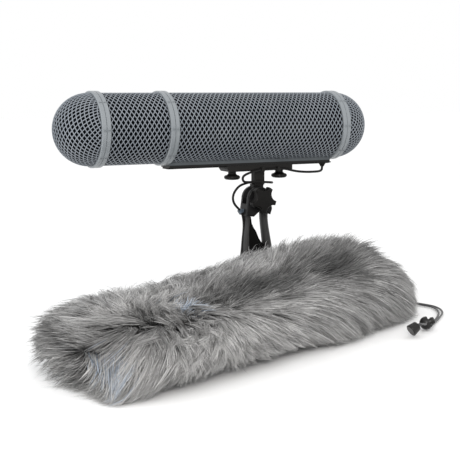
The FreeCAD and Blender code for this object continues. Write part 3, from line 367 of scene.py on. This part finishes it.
def route_curve(name, points, thick):
    """A round tube on a smooth line led by the route's points."""
    data = bpy.data.curves.new(name, "CURVE")
    data.dimensions = "3D"
    spline = data.splines.new("NURBS")
    spline.points.add(len(points) - 1)
    for spot, point in zip(spline.points, points):
        spot.co = (*point, 1.0)
    spline.order_u = 3
    spline.use_endpoint_u = True
    spline.resolution_u = 8
    data.bevel_depth = thick / 2
    data.bevel_resolution = 4
    data.use_fill_caps = True
    piece = bpy.data.objects.new(name, data)
    bpy.context.scene.collection.objects.link(piece)
    return piece


def centre_line(curve):
    """Points along a curve object's own line, without its thickness."""
    thin = curve.data.copy()
    thin.bevel_depth = 0.0
    holder = bpy.data.objects.new("centre_line", thin)
    bpy.context.scene.collection.objects.link(holder)
    line = bpy.data.meshes.new_from_object(holder)
    points = [vertex.co.copy() for vertex in line.vertices]
    bpy.data.objects.remove(holder)
    bpy.data.meshes.remove(line)
    return points


def as_mesh(curve):
    """The same tube as a mesh piece, with the points that it follows."""
    points = centre_line(curve)
    bpy.context.view_layer.update()
    evaluated = curve.evaluated_get(bpy.context.evaluated_depsgraph_get())
    data = bpy.data.meshes.new_from_object(evaluated)
    name = curve.name
    bpy.data.objects.remove(curve)
    piece = bpy.data.objects.new(name, data)
    bpy.context.scene.collection.objects.link(piece)
    data.shade_smooth()
    return piece, points


def finished(piece, material):
    """Gives a new piece its one material."""
    piece.data.materials.clear()
    piece.data.materials.append(material)


def lay_cord(name, points, thick, node, body):
    """A free cord that rides on one body and stands for its CAD tube."""
    piece = route_curve(name, points, thick)
    finished(piece, FINISH_OF_CORD[thick])
    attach(piece, body)
    if node is not None:
        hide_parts(node)


def bending_cord(name, points, thick, node):
    """A lead that crosses a joint, baked in place as one mesh that rides on no body."""
    piece, path = as_mesh(route_curve(name, points, thick))
    finished(piece, FINISH_OF_CORD[thick])
    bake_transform(piece)
    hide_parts(node)


lay_cord("lead_to_plug", LEAD_TAIL, LEAD_THICK, "lead_tail", "handle")
lay_cord("lead_round_neck", LEAD_WRAP, LEAD_THICK, "lead_wrap", "head")
lay_cord("lead_in_basket", INNER_LEAD, LEAD_THICK, "inner_lead", "basket")
bending_cord("lead_at_gland", LEAD_REAR, LEAD_THICK, "lead_rear")
bending_cord("lead_at_tilt", LEAD_LOOP, LEAD_THICK, "lead_loop")
lay_cord("drawcord_strand_a", DRAWCORD_A, DRAWCORD_THICK, "drawcord_a", "cover")
lay_cord("drawcord_strand_b", DRAWCORD_B, DRAWCORD_THICK, "drawcord_b", "cover")
lay_cord("cord_tail_a", CORD_TAIL_A, DRAWCORD_THICK, "drawcord_tail", "cover")
lay_cord("cord_tail_b", CORD_TAIL_B, DRAWCORD_THICK, None, "cover")

# ------------------------------------------------------------------ basket lattice
AXIS_HEIGHT = 0.255
SHELL_RADIUS = 0.0504
STRAND_WIDE = 0.0008         # half the width and half the depth of a moulded strand
STRAND_THICK = 0.0005
LATTICE_RADIUS = SHELL_RADIUS - STRAND_THICK
RING_SIDES = 6
DIAMONDS_ROUND = 30
DIAMOND_LONG = 0.0069
DIAMOND_WIDE = 0.0106        # on the domes, as the round pitch of the tubes
STEPS_PER_DIAMOND = 3
NET_TURN = 0.12              # how far the domes' net is turned about the axis
DOME_STEP = 0.0012
DOME_FEWEST_STEPS = 8
DOME_SHORTEST = 0.004        # half length of the shortest strand laid on a dome


def new_piece(name, vertices, faces, smooth=True):
    """A mesh object from vertices and faces."""
    data = bpy.data.meshes.new(name)
    data.from_pydata([tuple(v) for v in vertices], [], [tuple(f) for f in faces])
    data.validate()
    if smooth:
        data.shade_smooth()
    piece = bpy.data.objects.new(name, data)
    bpy.context.scene.collection.objects.link(piece)
    return piece


def strand_rings(line, normals):
    """Rings of an oval strand along a line, with the surface normal at each point."""
    forward = np.gradient(line, axis=0)
    forward /= np.linalg.norm(forward, axis=1, keepdims=True)
    across = np.cross(normals, forward)
    across /= np.linalg.norm(across, axis=1, keepdims=True)
    rings = []
    for number in range(RING_SIDES):
        turn = 2 * math.pi * (number + 0.5) / RING_SIDES
        rings.append(line + across * STRAND_WIDE * math.cos(turn)
                     + normals * STRAND_THICK * math.sin(turn))
    return np.stack(rings, axis=1).reshape(-1, 3)


def lattice(name, lines, node, body):
    """One mesh of many strands for a CAD node; each line is its points and surface normals."""
    vertices = []
    faces = []
    first = 0
    for line, normals in lines:
        vertices.append(strand_rings(line, normals))
        for step in range(len(line) - 1):
            for side in range(RING_SIDES):
                here = first + step * RING_SIDES
                after = (side + 1) % RING_SIDES
                faces.append((here + side, here + after, here + RING_SIDES + after,
                              here + RING_SIDES + side))
        faces.append(tuple(range(first + RING_SIDES - 1, first - 1, -1)))
        last = first + (len(line) - 1) * RING_SIDES
        faces.append(tuple(range(last, last + RING_SIDES)))
        first += len(line) * RING_SIDES
    piece = new_piece(name, np.concatenate(vertices), faces)
    finished(piece, MESH_PLASTIC)
    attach(piece, body)
    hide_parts(node)


def tube_lattice(name, node, body):
    """Two crossing families of helical strands round a tube section."""
    low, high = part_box(node)
    steps = int((high.x - low.x) / DIAMOND_LONG * STEPS_PER_DIAMOND)
    stations = np.linspace(low.x, high.x, steps + 1)
    lines = []
    for lean in (1, -1):
        for number in range(DIAMONDS_ROUND):
            turn = 2 * math.pi / DIAMONDS_ROUND * (number + lean * stations / DIAMOND_LONG)
            out = np.stack([np.zeros_like(turn), np.cos(turn), np.sin(turn)], axis=1)
            line = out * LATTICE_RADIUS
            line[:, 0] = stations
            line[:, 2] += AXIS_HEIGHT
            lines.append((line, out))
    lattice(name, lines, node, body)


def dome_lattice(name, node, body, way):
    """The tubes' diamond net laid over a dome, true to size along its meridians."""
    low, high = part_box(node)
    rim = high.x if way < 0 else low.x
    reach = LATTICE_RADIUS * math.pi / 2
    lines = []
    for lean in (1, -1):
        normal = np.array([1 / DIAMOND_LONG, lean / DIAMOND_WIDE])
        pitch = 1 / np.linalg.norm(normal)
        normal = normal * pitch
        ahead = np.array([-normal[1], normal[0]])
        count = int(reach / pitch)
        for number in range(-count, count + 1):
            offset = number * pitch
            end = math.sqrt(max(reach ** 2 - offset ** 2, 0.0))
            if end < DOME_SHORTEST:
                continue
            second = np.linspace(-end, end, max(int(end / DOME_STEP), DOME_FEWEST_STEPS))
            spots = normal * offset + ahead * second[:, None]
            turn = np.arctan2(spots[:, 1], spots[:, 0]) + NET_TURN
            tilt = np.linalg.norm(spots, axis=1) / LATTICE_RADIUS
            out = np.stack([way * np.cos(tilt), np.sin(tilt) * np.cos(turn),
                            np.sin(tilt) * np.sin(turn)], axis=1)
            line = out * LATTICE_RADIUS + np.array([rim, 0.0, AXIS_HEIGHT])
            lines.append((line, out))
    lattice(name, lines, node, body)


tube_lattice("main_mesh", "main_tube", "basket")
tube_lattice("front_mesh", "front_tube", "front_section")
dome_lattice("front_dome_mesh", "front_dome", "front_cap", -1)
dome_lattice("rear_dome_mesh", "rear_dome", "rear_cap", 1)

# ---------------------------------------------------------------------- fur cover
# Stations along the lying cover: middle x, y and z, half width and half height of its pile
COVER = np.array([
    (-0.411, -0.338, 0.034, 0.024, 0.016), (-0.399, -0.335, 0.036, 0.062, 0.032),
    (-0.362, -0.326, 0.042, 0.096, 0.0405), (-0.280, -0.304, 0.043, 0.103, 0.0415),
    (-0.180, -0.268, 0.045, 0.101, 0.0435), (-0.085, -0.224, 0.045, 0.099, 0.0435),
    (0.005, -0.183, 0.046, 0.095, 0.0445), (0.082, -0.152, 0.044, 0.086, 0.0425),
    (0.128, -0.137, 0.036, 0.058, 0.033), (0.146, -0.132, 0.028, 0.024, 0.016),
])
LEGS = np.hypot(np.diff(COVER[:, 0]), np.diff(COVER[:, 1]))
MILEAGE = np.concatenate([[0.0], np.cumsum(LEGS)])
MILEAGE /= MILEAGE[-1]
HEADING_STEP = 0.01          # share of the length over which the cover's heading is taken
THINNEST = 0.002             # least half width or half height

SKIN_WIDE = 0.76             # the skin's share of the pile's width, height and length
SKIN_HIGH = 0.56
SKIN_LONG = 0.935
SKIN_ROWS = 110
SKIN_AROUND = 72

# Where the pile parts: distance along the cover and angle from its far edge over the top
PARTING = np.array([
    (0.0, 132.0), (0.035, 120.0), (0.1, 117.0), (0.22, 111.0), (0.34, 112.0),
    (0.44, 114.0), (0.53, 116.0), (0.64, 116.0), (0.74, 112.0), (1.0, 104.0),
])
PARTING_SOFT = 0.42          # angle over which hair changes from one side to the other

# How hair is combed on the near and far sides of the parting.  Lay is along the cover and
# fall is an angle round it: the value at the left end, what it gains to the right, and the
# shares of the length between which it gains it.
NEAR_LAY = (-0.006, 0.090, 0.14, 0.44)
FAR_LAY = (0.018, 0.062, 0.03, 0.28)
NEAR_FALL = (0.42, -0.14, 0.2, 0.45)
FAR_FALL = 0.28
END_LAY = 0.024              # how far hair is combed back over the left end, from this share on
END_LAY_FROM = 0.10

# How far the tips reach past the pile's even surface
TIP_WIDE = 1.07              # share of its width and of its height
TIP_HIGH = 1.06
TIP_ENDS = (0.035, 0.965)    # shares of the length within which tips lie
NEAR_PULL = 0.12             # share of the width drawn in along the near side's left half
HUMP = 0.012                 # rise of the right half
DROOP = 0.030                # how far the near side hangs down, and less where it is drawn in
DROOP_LESS = 0.018
LEFT_REACH = 0.031           # past the left end, to its front and past the right end
LEFT_REACH_LESS = 0.40       # share of that missing at the sides
LEFT_FORWARD = 0.006
RIGHT_REACH = 0.006

VALLEY_WIDE = 0.22           # angle on each side of the parting where hair is low, and darkened by painted shade and by its own bared dark roots
VALLEY_LOW = 0.16
VALLEY_SHADE_AND_ROOTS = 1.1

STRANDS = 138000
PIECE_STRANDS = 23000        # keeps each piece of fur a modest size
UNDERSIDE = (math.radians(215), math.radians(325))
UNDERSIDE_KEPT = 0.35        # share of hair that grows on the side lying on the floor
FLOOR_CLEARANCE = 0.0006
FARTHEST = (-0.441, -0.444)  # how far hair may reach to the left and to the front

CLUMPS_LONG = 96
CLUMPS_ROUND = 72
CLUMP_SPOT = (0.1, 0.9)      # where in its cell a clump may start
CLUMP_LEAN = (0.009, 0.10)   # how unevenly clumps lean, along the cover and round it
CLUMP_LENGTH = (0.82, 1.14)
CLUMP_TONE = 0.55
TONE_PARTS = (1.15, 1.25, 0.65)   # parts that clumps, slow streaks and single hairs play
SWELL = 0.13                 # slow change in the length of hair
GATHER = 0.55                # how far a hair's tip is drawn to its clump's
SWIRL = (0.016, 0.20)        # slow waves in the comb, along the cover and round it
STRAY = (0.005, 0.05)        # how far single hairs stray, along the cover and round it

END_CLOSE = 0.045            # share of the length over which the ends' hair closes in
END_DRAW = np.array([0.15, 0.8, 0.8])
HAIR_LENGTH = (0.72, 1.10)
GUARD_HAIRS = 0.04           # share of hairs that stand out, and how much longer they are
GUARD_LONGER = 1.15
TRIM = (0.74, 1.0)
BOW_OUT = 0.42               # how far a hair bows off the skin, and towards its tip
BOW_ALONG = 0.18
TWIST = 0.35                 # how unevenly the ribbons face outwards
RIBBON_WIDTH = (0.7, 1.25)
PATH_SHARES = np.array([0.0, 0.28, 0.55, 0.80, 1.0])
PATH_WIDTHS = np.array([0.00046, 0.00044, 0.00036, 0.00021])
PATH_TONES = np.array([-2.9, -1.1, 0.2, 1.1])
TINY = 1e-9

# Tones of the pile from its dark roots to its pale tips, and the bluish ones near its end
TONES = [0.020, 0.036, 0.060, 0.095, 0.145, 0.21, 0.29, 0.38, 0.49]
WARM = (1.008, 1.0, 0.990)
BLUISH = [(0.075, 0.095, 0.125), (0.20, 0.235, 0.285), (0.36, 0.405, 0.47)]
MIDDLE_TONE = 5.35
BLUE_HAIRS = 0.85            # share of bluish hairs in the middle of their patch

# Patches darker or paler than the rest: painted shade along the parting and low on the near side,
# painted light on the top and upper near side, among the pile's own uneven tone. Place along and
# round from the parting, spread, tone
TONE_AND_LIGHT_PATCHES = [
    ((0.004, -1.9), (0.018, 0.8), -1.2), ((0.012, 0.20), (0.014, 0.22), -1.7),
    ((0.036, 0.05), (0.022, 0.26), -3.0), ((0.100, 0.05), (0.030, 0.24), -2.8),
    ((0.080, 0.46), (0.016, 0.16), -1.6), ((0.160, 1.80), (0.050, 0.35), -2.0),
    ((0.37, 0.02), (0.100, 0.28), -4.0), ((0.49, 0.05), (0.05, 0.20), -1.5),
    ((0.68, -0.05), (0.120, 0.34), -3.6), ((0.60, 1.40), (0.060, 0.28), -1.5),
    ((0.30, 1.50), (0.050, 0.22), -0.8), ((0.90, 0.90), (0.060, 0.30), -0.6),
    ((0.060, -0.45), (0.040, 0.25), 1.0), ((0.20, -0.55), (0.080, 0.25), 0.5),
    ((0.42, -0.50), (0.120, 0.25), 1.0), ((0.25, 0.80), (0.120, 0.25), 0.5),
    ((0.090, 0.70), (0.020, 0.20), 0.9), ((0.15, 0.50), (0.02, 0.15), 0.7),
    ((0.50, 0.60), (0.080, 0.20), 0.5), ((0.78, -0.60), (0.100, 0.30), 0.3),
]
BLUE_PATCHES = [((0.012, 0.80), (0.020, 0.36)), ((0.21, 0.00), (0.02, 0.16))]

random = np.random.default_rng(11)


def unit(vectors):
    """The same vectors at length 1."""
    return vectors / np.linalg.norm(vectors, axis=-1, keepdims=True)


def ramp(value, first, last):
    """Eases from 0 to 1 between two values."""
    part = np.clip((value - first) / (last - first), 0, 1)
    return part * part * (3 - 2 * part)


def eased(share, start, gain, first, last):
    """A value that changes by a gain between two shares of the cover's length."""
    return start + gain * ramp(share, first, last)


def smooth_between(share, column):
    """A station value at shares along the cover, eased between stations."""
    index = np.clip(np.searchsorted(MILEAGE, share, side="right") - 1, 0, len(MILEAGE) - 2)
    gap = MILEAGE[index + 1] - MILEAGE[index]
    part = (share - MILEAGE[index]) / gap
    values = COVER[:, column]
    slopes = np.gradient(values, MILEAGE)
    a, b = values[index], values[index + 1]
    start, end = slopes[index] * gap, slopes[index + 1] * gap
    square, cube = part ** 2, part ** 3
    return ((2 * cube - 3 * square + 1) * a + (cube - 2 * square + part) * start
            + (3 * square - 2 * cube) * b + (cube - square) * end)


def cover_point(share, angle, wide=1.0, high=1.0, long=1.0):
    """Points of the pile's outer surface, or of the skin under it."""
    share = np.clip(0.5 + (np.clip(share, 0, 1) - 0.5) * long, 0.0, 1.0)
    middle = np.stack([smooth_between(share, c) for c in (0, 1, 2)], axis=-1)
    ahead = np.stack([smooth_between(np.clip(share + HEADING_STEP, 0, 1), c)
                      for c in (0, 1)], -1)
    behind = np.stack([smooth_between(np.clip(share - HEADING_STEP, 0, 1), c)
                       for c in (0, 1)], -1)
    heading = unit(ahead - behind)
    across = np.stack([-heading[..., 1], heading[..., 0], np.zeros_like(share)], axis=-1)
    half_wide = np.maximum(smooth_between(share, 3), THINNEST) * wide
    half_high = np.maximum(smooth_between(share, 4), THINNEST) * high
    return (middle + across * (half_wide * np.cos(angle))[..., None]
            + np.array([0, 0, 1.0]) * (half_high * np.sin(angle))[..., None])


def skin_point(share, angle):
    """Points of the fabric tube that the hair grows on."""
    return cover_point(share, angle, SKIN_WIDE, SKIN_HIGH, SKIN_LONG)


def field(share, angle, scale, seed):
    """Slow noise over the cover, from about -1 to 1."""
    half_widths_long = 5.6
    spots = np.stack([share * half_widths_long, np.cos(angle), np.sin(angle)], axis=-1) * scale
    return np.array([noise.fractal(Vector(s) + Vector((seed, 0, 0)), 0.8, 2.1, 3)
                     for s in spots.reshape(-1, 3)]).reshape(np.shape(share))


def blob(share, off, centre, spread):
    """A soft patch about one place on the cover."""
    return np.exp(-((share - centre[0]) / spread[0]) ** 2
                  - ((off - centre[1]) / spread[1]) ** 2)


def valley_at(share, off):
    """How deep in the parting a hair grows, from 0 to 1."""
    return np.exp(-(off / VALLEY_WIDE) ** 2) * ramp(share, 0.05, 0.14)


def fur_material(name, colour):
    """Hair of one colour; many such tones side by side make up the pile."""
    material, _, shader = new_material(name)
    shader.inputs["Base Color"].default_value = (*colour, 1)
    shader.inputs["Roughness"].default_value = 0.58
    shader.inputs["Specular IOR Level"].default_value = 0.32
    shader.inputs["Sheen Weight"].default_value = 0.12
    return material


FUR_MATERIALS = []
for number, tone in enumerate(TONES):
    FUR_MATERIALS.append(fur_material("fur_tone_%d" % number, [tone * part for part in WARM]))
for number, colour in enumerate(BLUISH):
    FUR_MATERIALS.append(fur_material("fur_bluish_%d" % number, colour))


def skin_piece():
    """The fabric tube under the hair: dark, closed and slack."""
    shares, angles = np.meshgrid(np.linspace(0, 1, SKIN_ROWS),
                                 np.linspace(0, 2 * math.pi, SKIN_AROUND, endpoint=False),
                                 indexing="ij")
    points = skin_point(shares, angles).reshape(-1, 3)
    faces = []
    for row in range(SKIN_ROWS - 1):
        for side in range(SKIN_AROUND):
            here = row * SKIN_AROUND + side
            after = row * SKIN_AROUND + (side + 1) % SKIN_AROUND
            faces.append((here, here + SKIN_AROUND, after + SKIN_AROUND, after))
    faces.append(tuple(range(SKIN_AROUND)))
    faces.append(tuple(range(SKIN_ROWS * SKIN_AROUND - 1, (SKIN_ROWS - 1) * SKIN_AROUND - 1, -1)))
    piece = new_piece("cover_skin", points, faces)
    material, tree, shader = new_material("cover_skin")
    tree.links.new(two_tone(tree, noise_node(tree, 160.0), (0.012, 0.012, 0.012),
                            (0.045, 0.044, 0.042)), shader.inputs["Base Color"])
    shader.inputs["Roughness"].default_value = 0.95
    add_bump(tree, shader, noise_node(tree, 420.0), 0.6, 0.001)
    finished(piece, material)
    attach(piece, "cover")
    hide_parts("fur_pile", "cover_backing")


def strand_roots():
    """Shares and angles of the hairs' roots, thinner on the side that lies on the floor."""
    share = random.uniform(0, 1, STRANDS * 2)
    angle = random.uniform(0, 2 * math.pi, STRANDS * 2)
    under = (angle > UNDERSIDE[0]) & (angle < UNDERSIDE[1])
    keep = random.uniform(0, 1, STRANDS * 2) < np.where(under, UNDERSIDE_KEPT, 1.0)
    return share[keep][:STRANDS], angle[keep][:STRANDS]


def clump_table():
    """For each clump: where it starts, how its tip leans, its length and its tone."""
    count = CLUMPS_LONG * CLUMPS_ROUND
    row, column = np.divmod(np.arange(count), CLUMPS_ROUND)
    share = (row + random.uniform(*CLUMP_SPOT, count)) / CLUMPS_LONG
    angle = (column + random.uniform(*CLUMP_SPOT, count)) / CLUMPS_ROUND * 2 * math.pi
    lean_long = random.normal(0, CLUMP_LEAN[0], count)
    lean_round = random.normal(0, CLUMP_LEAN[1], count)
    length = random.uniform(*CLUMP_LENGTH, count)
    tone = random.normal(0, CLUMP_TONE, count)
    return share, angle, lean_long, lean_round, length, tone


def clump_of(share, angle):
    """The number of the clump that each hair belongs to."""
    row = np.clip((share * CLUMPS_LONG).astype(int), 0, CLUMPS_LONG - 1)
    column = np.clip((angle / (2 * math.pi) * CLUMPS_ROUND).astype(int), 0, CLUMPS_ROUND - 1)
    return row * CLUMPS_ROUND + column


def comb(share, angle):
    """How far a hair's tip lies from its root, along the cover and round it."""
    parting = np.radians(np.interp(share, PARTING[:, 0], PARTING[:, 1]))
    off = (angle - parting + math.pi) % (2 * math.pi) - math.pi
    side = np.tanh(off / PARTING_SOFT)
    spread = np.clip(1.2 - np.abs(off) / 2.2, 0.1, 1.0)
    fall = np.where(off > 0, eased(share, *NEAR_FALL), FAR_FALL) * side * spread
    part = 0.5 + 0.5 * side
    along = eased(share, *FAR_LAY) * (1 - part) + eased(share, *NEAR_LAY) * part
    along = along - END_LAY * ramp(share, END_LAY_FROM, 0.0)
    return along, fall, off


def pile_tip(share, angle):
    """Where hair of full length ends: fuller than the pile's even surface."""
    up = np.clip(np.sin(angle), 0, 1)
    near = np.clip(-np.cos(angle), 0, 1)
    lean = ramp(share, 0.04, 0.12) * ramp(share, 0.62, 0.40)
    tip = cover_point(np.clip(share, *TIP_ENDS), angle, TIP_WIDE - NEAR_PULL * near * lean,
                      TIP_HIGH)
    tip[:, 2] += HUMP * up * ramp(share, 0.36, 0.66) * ramp(share, 1.0, 0.86)
    tip[:, 2] -= (DROOP - DROOP_LESS * lean) * near ** 1.5
    left = ramp(share, 0.11, 0.0)
    right = ramp(share, 0.92, 1.0)
    level = np.cos(angle) ** 2
    tip[:, 0] += -LEFT_REACH * left * (1 - LEFT_REACH_LESS * level) - RIGHT_REACH * right
    tip[:, 1] += -LEFT_FORWARD * left * (1 - level)
    return tip


def tip_places(share, angle, clumps, clump):
    """Where on the cover the hairs' tips lie, each drawn towards its clump's tip."""
    count = len(share)
    c_share, c_angle, lean_long, lean_round = [column[clump] for column in clumps[:4]]
    swirl = field(clumps[0], clumps[1], 1.6, 3.0)[clump]
    turn = field(clumps[0], clumps[1], 1.9, 67.0)[clump]
    along, fall, off = comb(share, angle)
    c_along, c_fall, _ = comb(c_share, c_angle)
    loose = 0.7 + 1.1 * ramp(share, 0.42, 0.16)
    tip_share = ((share + along) * (1 - GATHER) + (c_share + c_along) * GATHER
                 + (lean_long + SWIRL[0] * swirl) * loose + random.normal(0, STRAY[0], count))
    tip_angle = ((angle + fall) * (1 - GATHER) + (c_angle + c_fall) * GATHER
                 + (lean_round + SWIRL[1] * turn) * loose + random.normal(0, STRAY[1], count))
    return tip_share, tip_angle, off


def hair_ends(share, angle, tip_share, tip_angle, off, length):
    """Root and tip of each hair, and the direction in which it stands off the skin."""
    count = len(share)
    root = skin_point(share, angle)
    middle = (root + skin_point(share, angle + math.pi)) / 2
    outward = unit(cover_point(share, angle) - middle)
    tip = pile_tip(tip_share, tip_angle)
    close = np.clip(1 - np.minimum(share, 1 - share) / END_CLOSE, 0, 1)
    blunt = (close * random.uniform(0, 1, count))[:, None]
    root = root + (middle - root) * blunt
    tip = tip + (middle - tip) * END_DRAW * blunt
    low = VALLEY_LOW * valley_at(share, off)
    reach = length * random.uniform(*HAIR_LENGTH, count) * (1 - low)
    guard = random.uniform(0, 1, count) < GUARD_HAIRS
    reach = np.where(guard, reach * GUARD_LONGER, reach)
    tip = root + (tip - root) * reach[:, None]
    return root, trimmed(root, tip), outward


def trimmed(root, tip):
    """Tips drawn back, unevenly, where hair would reach past the farthest places."""
    room = (np.array(FARTHEST) - root[:, :2]) / np.minimum(tip[:, :2] - root[:, :2], -1e-6)
    room = np.min(room, axis=1)
    fit = np.where(room < 1, room * random.uniform(*TRIM, len(root)), 1.0)
    return root + (tip - root) * fit[:, None]


def hair_paths(root, tip, outward):
    """Points along each bowed hair, and the direction across its ribbon."""
    span = np.linalg.norm(tip - root, axis=1, keepdims=True)
    bow = root + outward * span * BOW_OUT + (tip - root) * BOW_ALONG
    shares = PATH_SHARES[None, :, None]
    path = (root[:, None] * (1 - shares) ** 2 + bow[:, None] * 2 * shares * (1 - shares)
            + tip[:, None] * shares ** 2)
    path[..., 2] = np.maximum(path[..., 2], FLOOR_CLEARANCE)
    forward = np.gradient(path, axis=1)
    forward /= np.linalg.norm(forward, axis=2, keepdims=True) + TINY
    facing = outward[:, None] + random.normal(0, TWIST, (len(root), 1, 3))
    side = np.cross(forward, facing)
    side /= np.linalg.norm(side, axis=2, keepdims=True) + TINY
    return path, side


def hair_shades(tone, half_share, half_off):
    """The number of the material on each length of each hair."""
    # the patches add painted shade and painted light to the hairs' tones
    for centre, spread, amount in TONE_AND_LIGHT_PATCHES:
        tone = tone + amount * blob(half_share, half_off, centre, spread)
    blue = np.zeros(len(tone))
    for centre, spread in BLUE_PATCHES:
        blue = np.maximum(blue, blob(half_share, half_off, centre, spread))
    blue = random.uniform(0, 1, len(tone)) < blue * BLUE_HAIRS
    level = MIDDLE_TONE + tone[:, None] + PATH_TONES[None, :]
    shade = np.clip(np.round(level), 0, len(TONES) - 1).astype(int)
    blue_shade = len(TONES) + np.clip((shade - 2) // 2, 0, len(BLUISH) - 1)
    return np.where(blue[:, None], blue_shade, shade)


def grow_fur():
    """Hairs in clumps, combed away from the parting, as flat tapering ribbons."""
    share, angle = strand_roots()
    clumps = clump_table()
    clump = clump_of(share, angle)
    swell = field(clumps[0], clumps[1], 2.2, 19.0)[clump]
    streak = field(clumps[0], clumps[1], 3.4, 41.0)[clump]
    c_length, c_tone = clumps[4][clump], clumps[5][clump]

    tip_share, tip_angle, off = tip_places(share, angle, clumps, clump)
    root, tip, outward = hair_ends(share, angle, tip_share, tip_angle, off,
                                   c_length * (1 + SWELL * swell))
    path, side = hair_paths(root, tip, outward)
    of_clump, of_streak, of_hair = TONE_PARTS
    # darker along the parting: painted shade in the parting, with the dark roots that it bares
    tone = (of_clump * c_tone + of_streak * streak + random.normal(0, of_hair, len(share))
            - VALLEY_SHADE_AND_ROOTS * valley_at(share, off))
    half_share = 0.5 * (share + np.clip(tip_share, 0, 1))
    half_off = off + 0.5 * (tip_angle - angle)
    shade = hair_shades(tone, half_share, half_off)

    order = np.argsort(share, kind="stable")
    for number, first in enumerate(range(0, len(share), PIECE_STRANDS)):
        chosen = order[first:first + PIECE_STRANDS]
        fur_piece("fur_%d" % number, path[chosen], side[chosen], shade[chosen])


def fur_piece(name, path, side, shade):
    """One mesh of ribbons: three quads and a pointed end each."""
    count = len(path)
    wide = PATH_WIDTHS[None, :, None] * random.uniform(*RIBBON_WIDTH, (count, 1, 1))
    left = path[:, :4] - side[:, :4] * wide
    right = path[:, :4] + side[:, :4] * wide
    corners = np.stack([left, right], axis=2).reshape(count, 8, 3)
    vertices = np.concatenate([corners, path[:, 4:]], axis=1).reshape(-1, 3)
    pattern = np.array([0, 1, 3, 2, 2, 3, 5, 4, 4, 5, 7, 6, 6, 7, 8])
    starts = np.array([0, 4, 8, 12])
    hairs = np.arange(count)[:, None]
    loops = (hairs * (pattern.max() + 1) + pattern).ravel()
    loop_starts = (hairs * len(pattern) + starts).ravel()
    data = bpy.data.meshes.new(name)
    data.vertices.add(len(vertices))
    data.vertices.foreach_set("co", vertices.astype(np.float32).ravel())
    data.loops.add(len(loops))
    data.loops.foreach_set("vertex_index", loops.astype(np.int32))
    data.polygons.add(len(loop_starts))
    data.polygons.foreach_set("loop_start", loop_starts.astype(np.int32))
    for material in FUR_MATERIALS:
        data.materials.append(material)
    data.polygons.foreach_set("material_index", shade.astype(np.int32).ravel())
    data.update(calc_edges=True)
    data.shade_smooth()
    piece = bpy.data.objects.new(name, data)
    bpy.context.scene.collection.objects.link(piece)
    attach(piece, "cover")
    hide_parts("fur_pile")


skin_piece()
grow_fur()

# ------------------------------------------------------------------ floor and light
FLOOR_REACH = 9.0
FLOOR_HEIGHT = -0.0015       # just under the object, so that no faces lie in one plane
SUN_WIDTH = math.radians(60)
SUN_TURN = (math.radians(52), 0, math.radians(-28))


def area_light(name, spot, aim, wide, power, colour):
    """A square soft light aimed at a point."""
    lamp = bpy.data.lights.new(name, "AREA")
    lamp.shape = "SQUARE"
    lamp.size = wide
    lamp.energy = power
    lamp.color = colour
    holder = bpy.data.objects.new(name, lamp)
    bpy.context.scene.collection.objects.link(holder)
    holder.location = spot
    holder.rotation_mode = "QUATERNION"
    holder.rotation_quaternion = (Vector(aim) - Vector(spot)).to_track_quat("-Z", "Y")


def studio():
    """A plain pale floor, an even pale surround and soft lights."""
    corners = [(FLOOR_REACH * x, FLOOR_REACH * y, FLOOR_HEIGHT)
               for x, y in ((-1, -1), (1, -1), (1, 1), (-1, 1))]
    floor = new_piece("floor", corners, [(0, 1, 2, 3)], smooth=False)
    material, tree, shader = new_material("floor")
    tree.links.new(two_tone(tree, noise_node(tree, 30.0), (0.86, 0.86, 0.86),
                            (0.88, 0.88, 0.88)), shader.inputs["Base Color"])
    shader.inputs["Roughness"].default_value = 0.9
    floor.data.materials.append(material)
    world = bpy.data.worlds.new("surround")
    world.use_nodes = True
    bpy.context.scene.world = world
    background = world.node_tree.nodes["Background"]
    background.inputs["Color"].default_value = (1.0, 1.0, 1.0, 1)
    background.inputs["Strength"].default_value = 1.0
    sun = bpy.data.lights.new("front_wash", "SUN")
    sun.energy = 1.0
    sun.angle = SUN_WIDTH
    holder = bpy.data.objects.new("front_wash", sun)
    bpy.context.scene.collection.objects.link(holder)
    holder.rotation_euler = SUN_TURN
    area_light("key", (-0.7, -1.5, 0.70), (-0.05, 0.0, 0.22), 0.34, 9.0, (1.0, 0.97, 0.93))
    area_light("rim", (-1.6, 0.3, 0.5), (-0.2, 0.0, 0.2), 0.8, 5.0, (0.82, 0.91, 1.0))
    bpy.context.scene.view_settings.view_transform = "Standard"


studio()
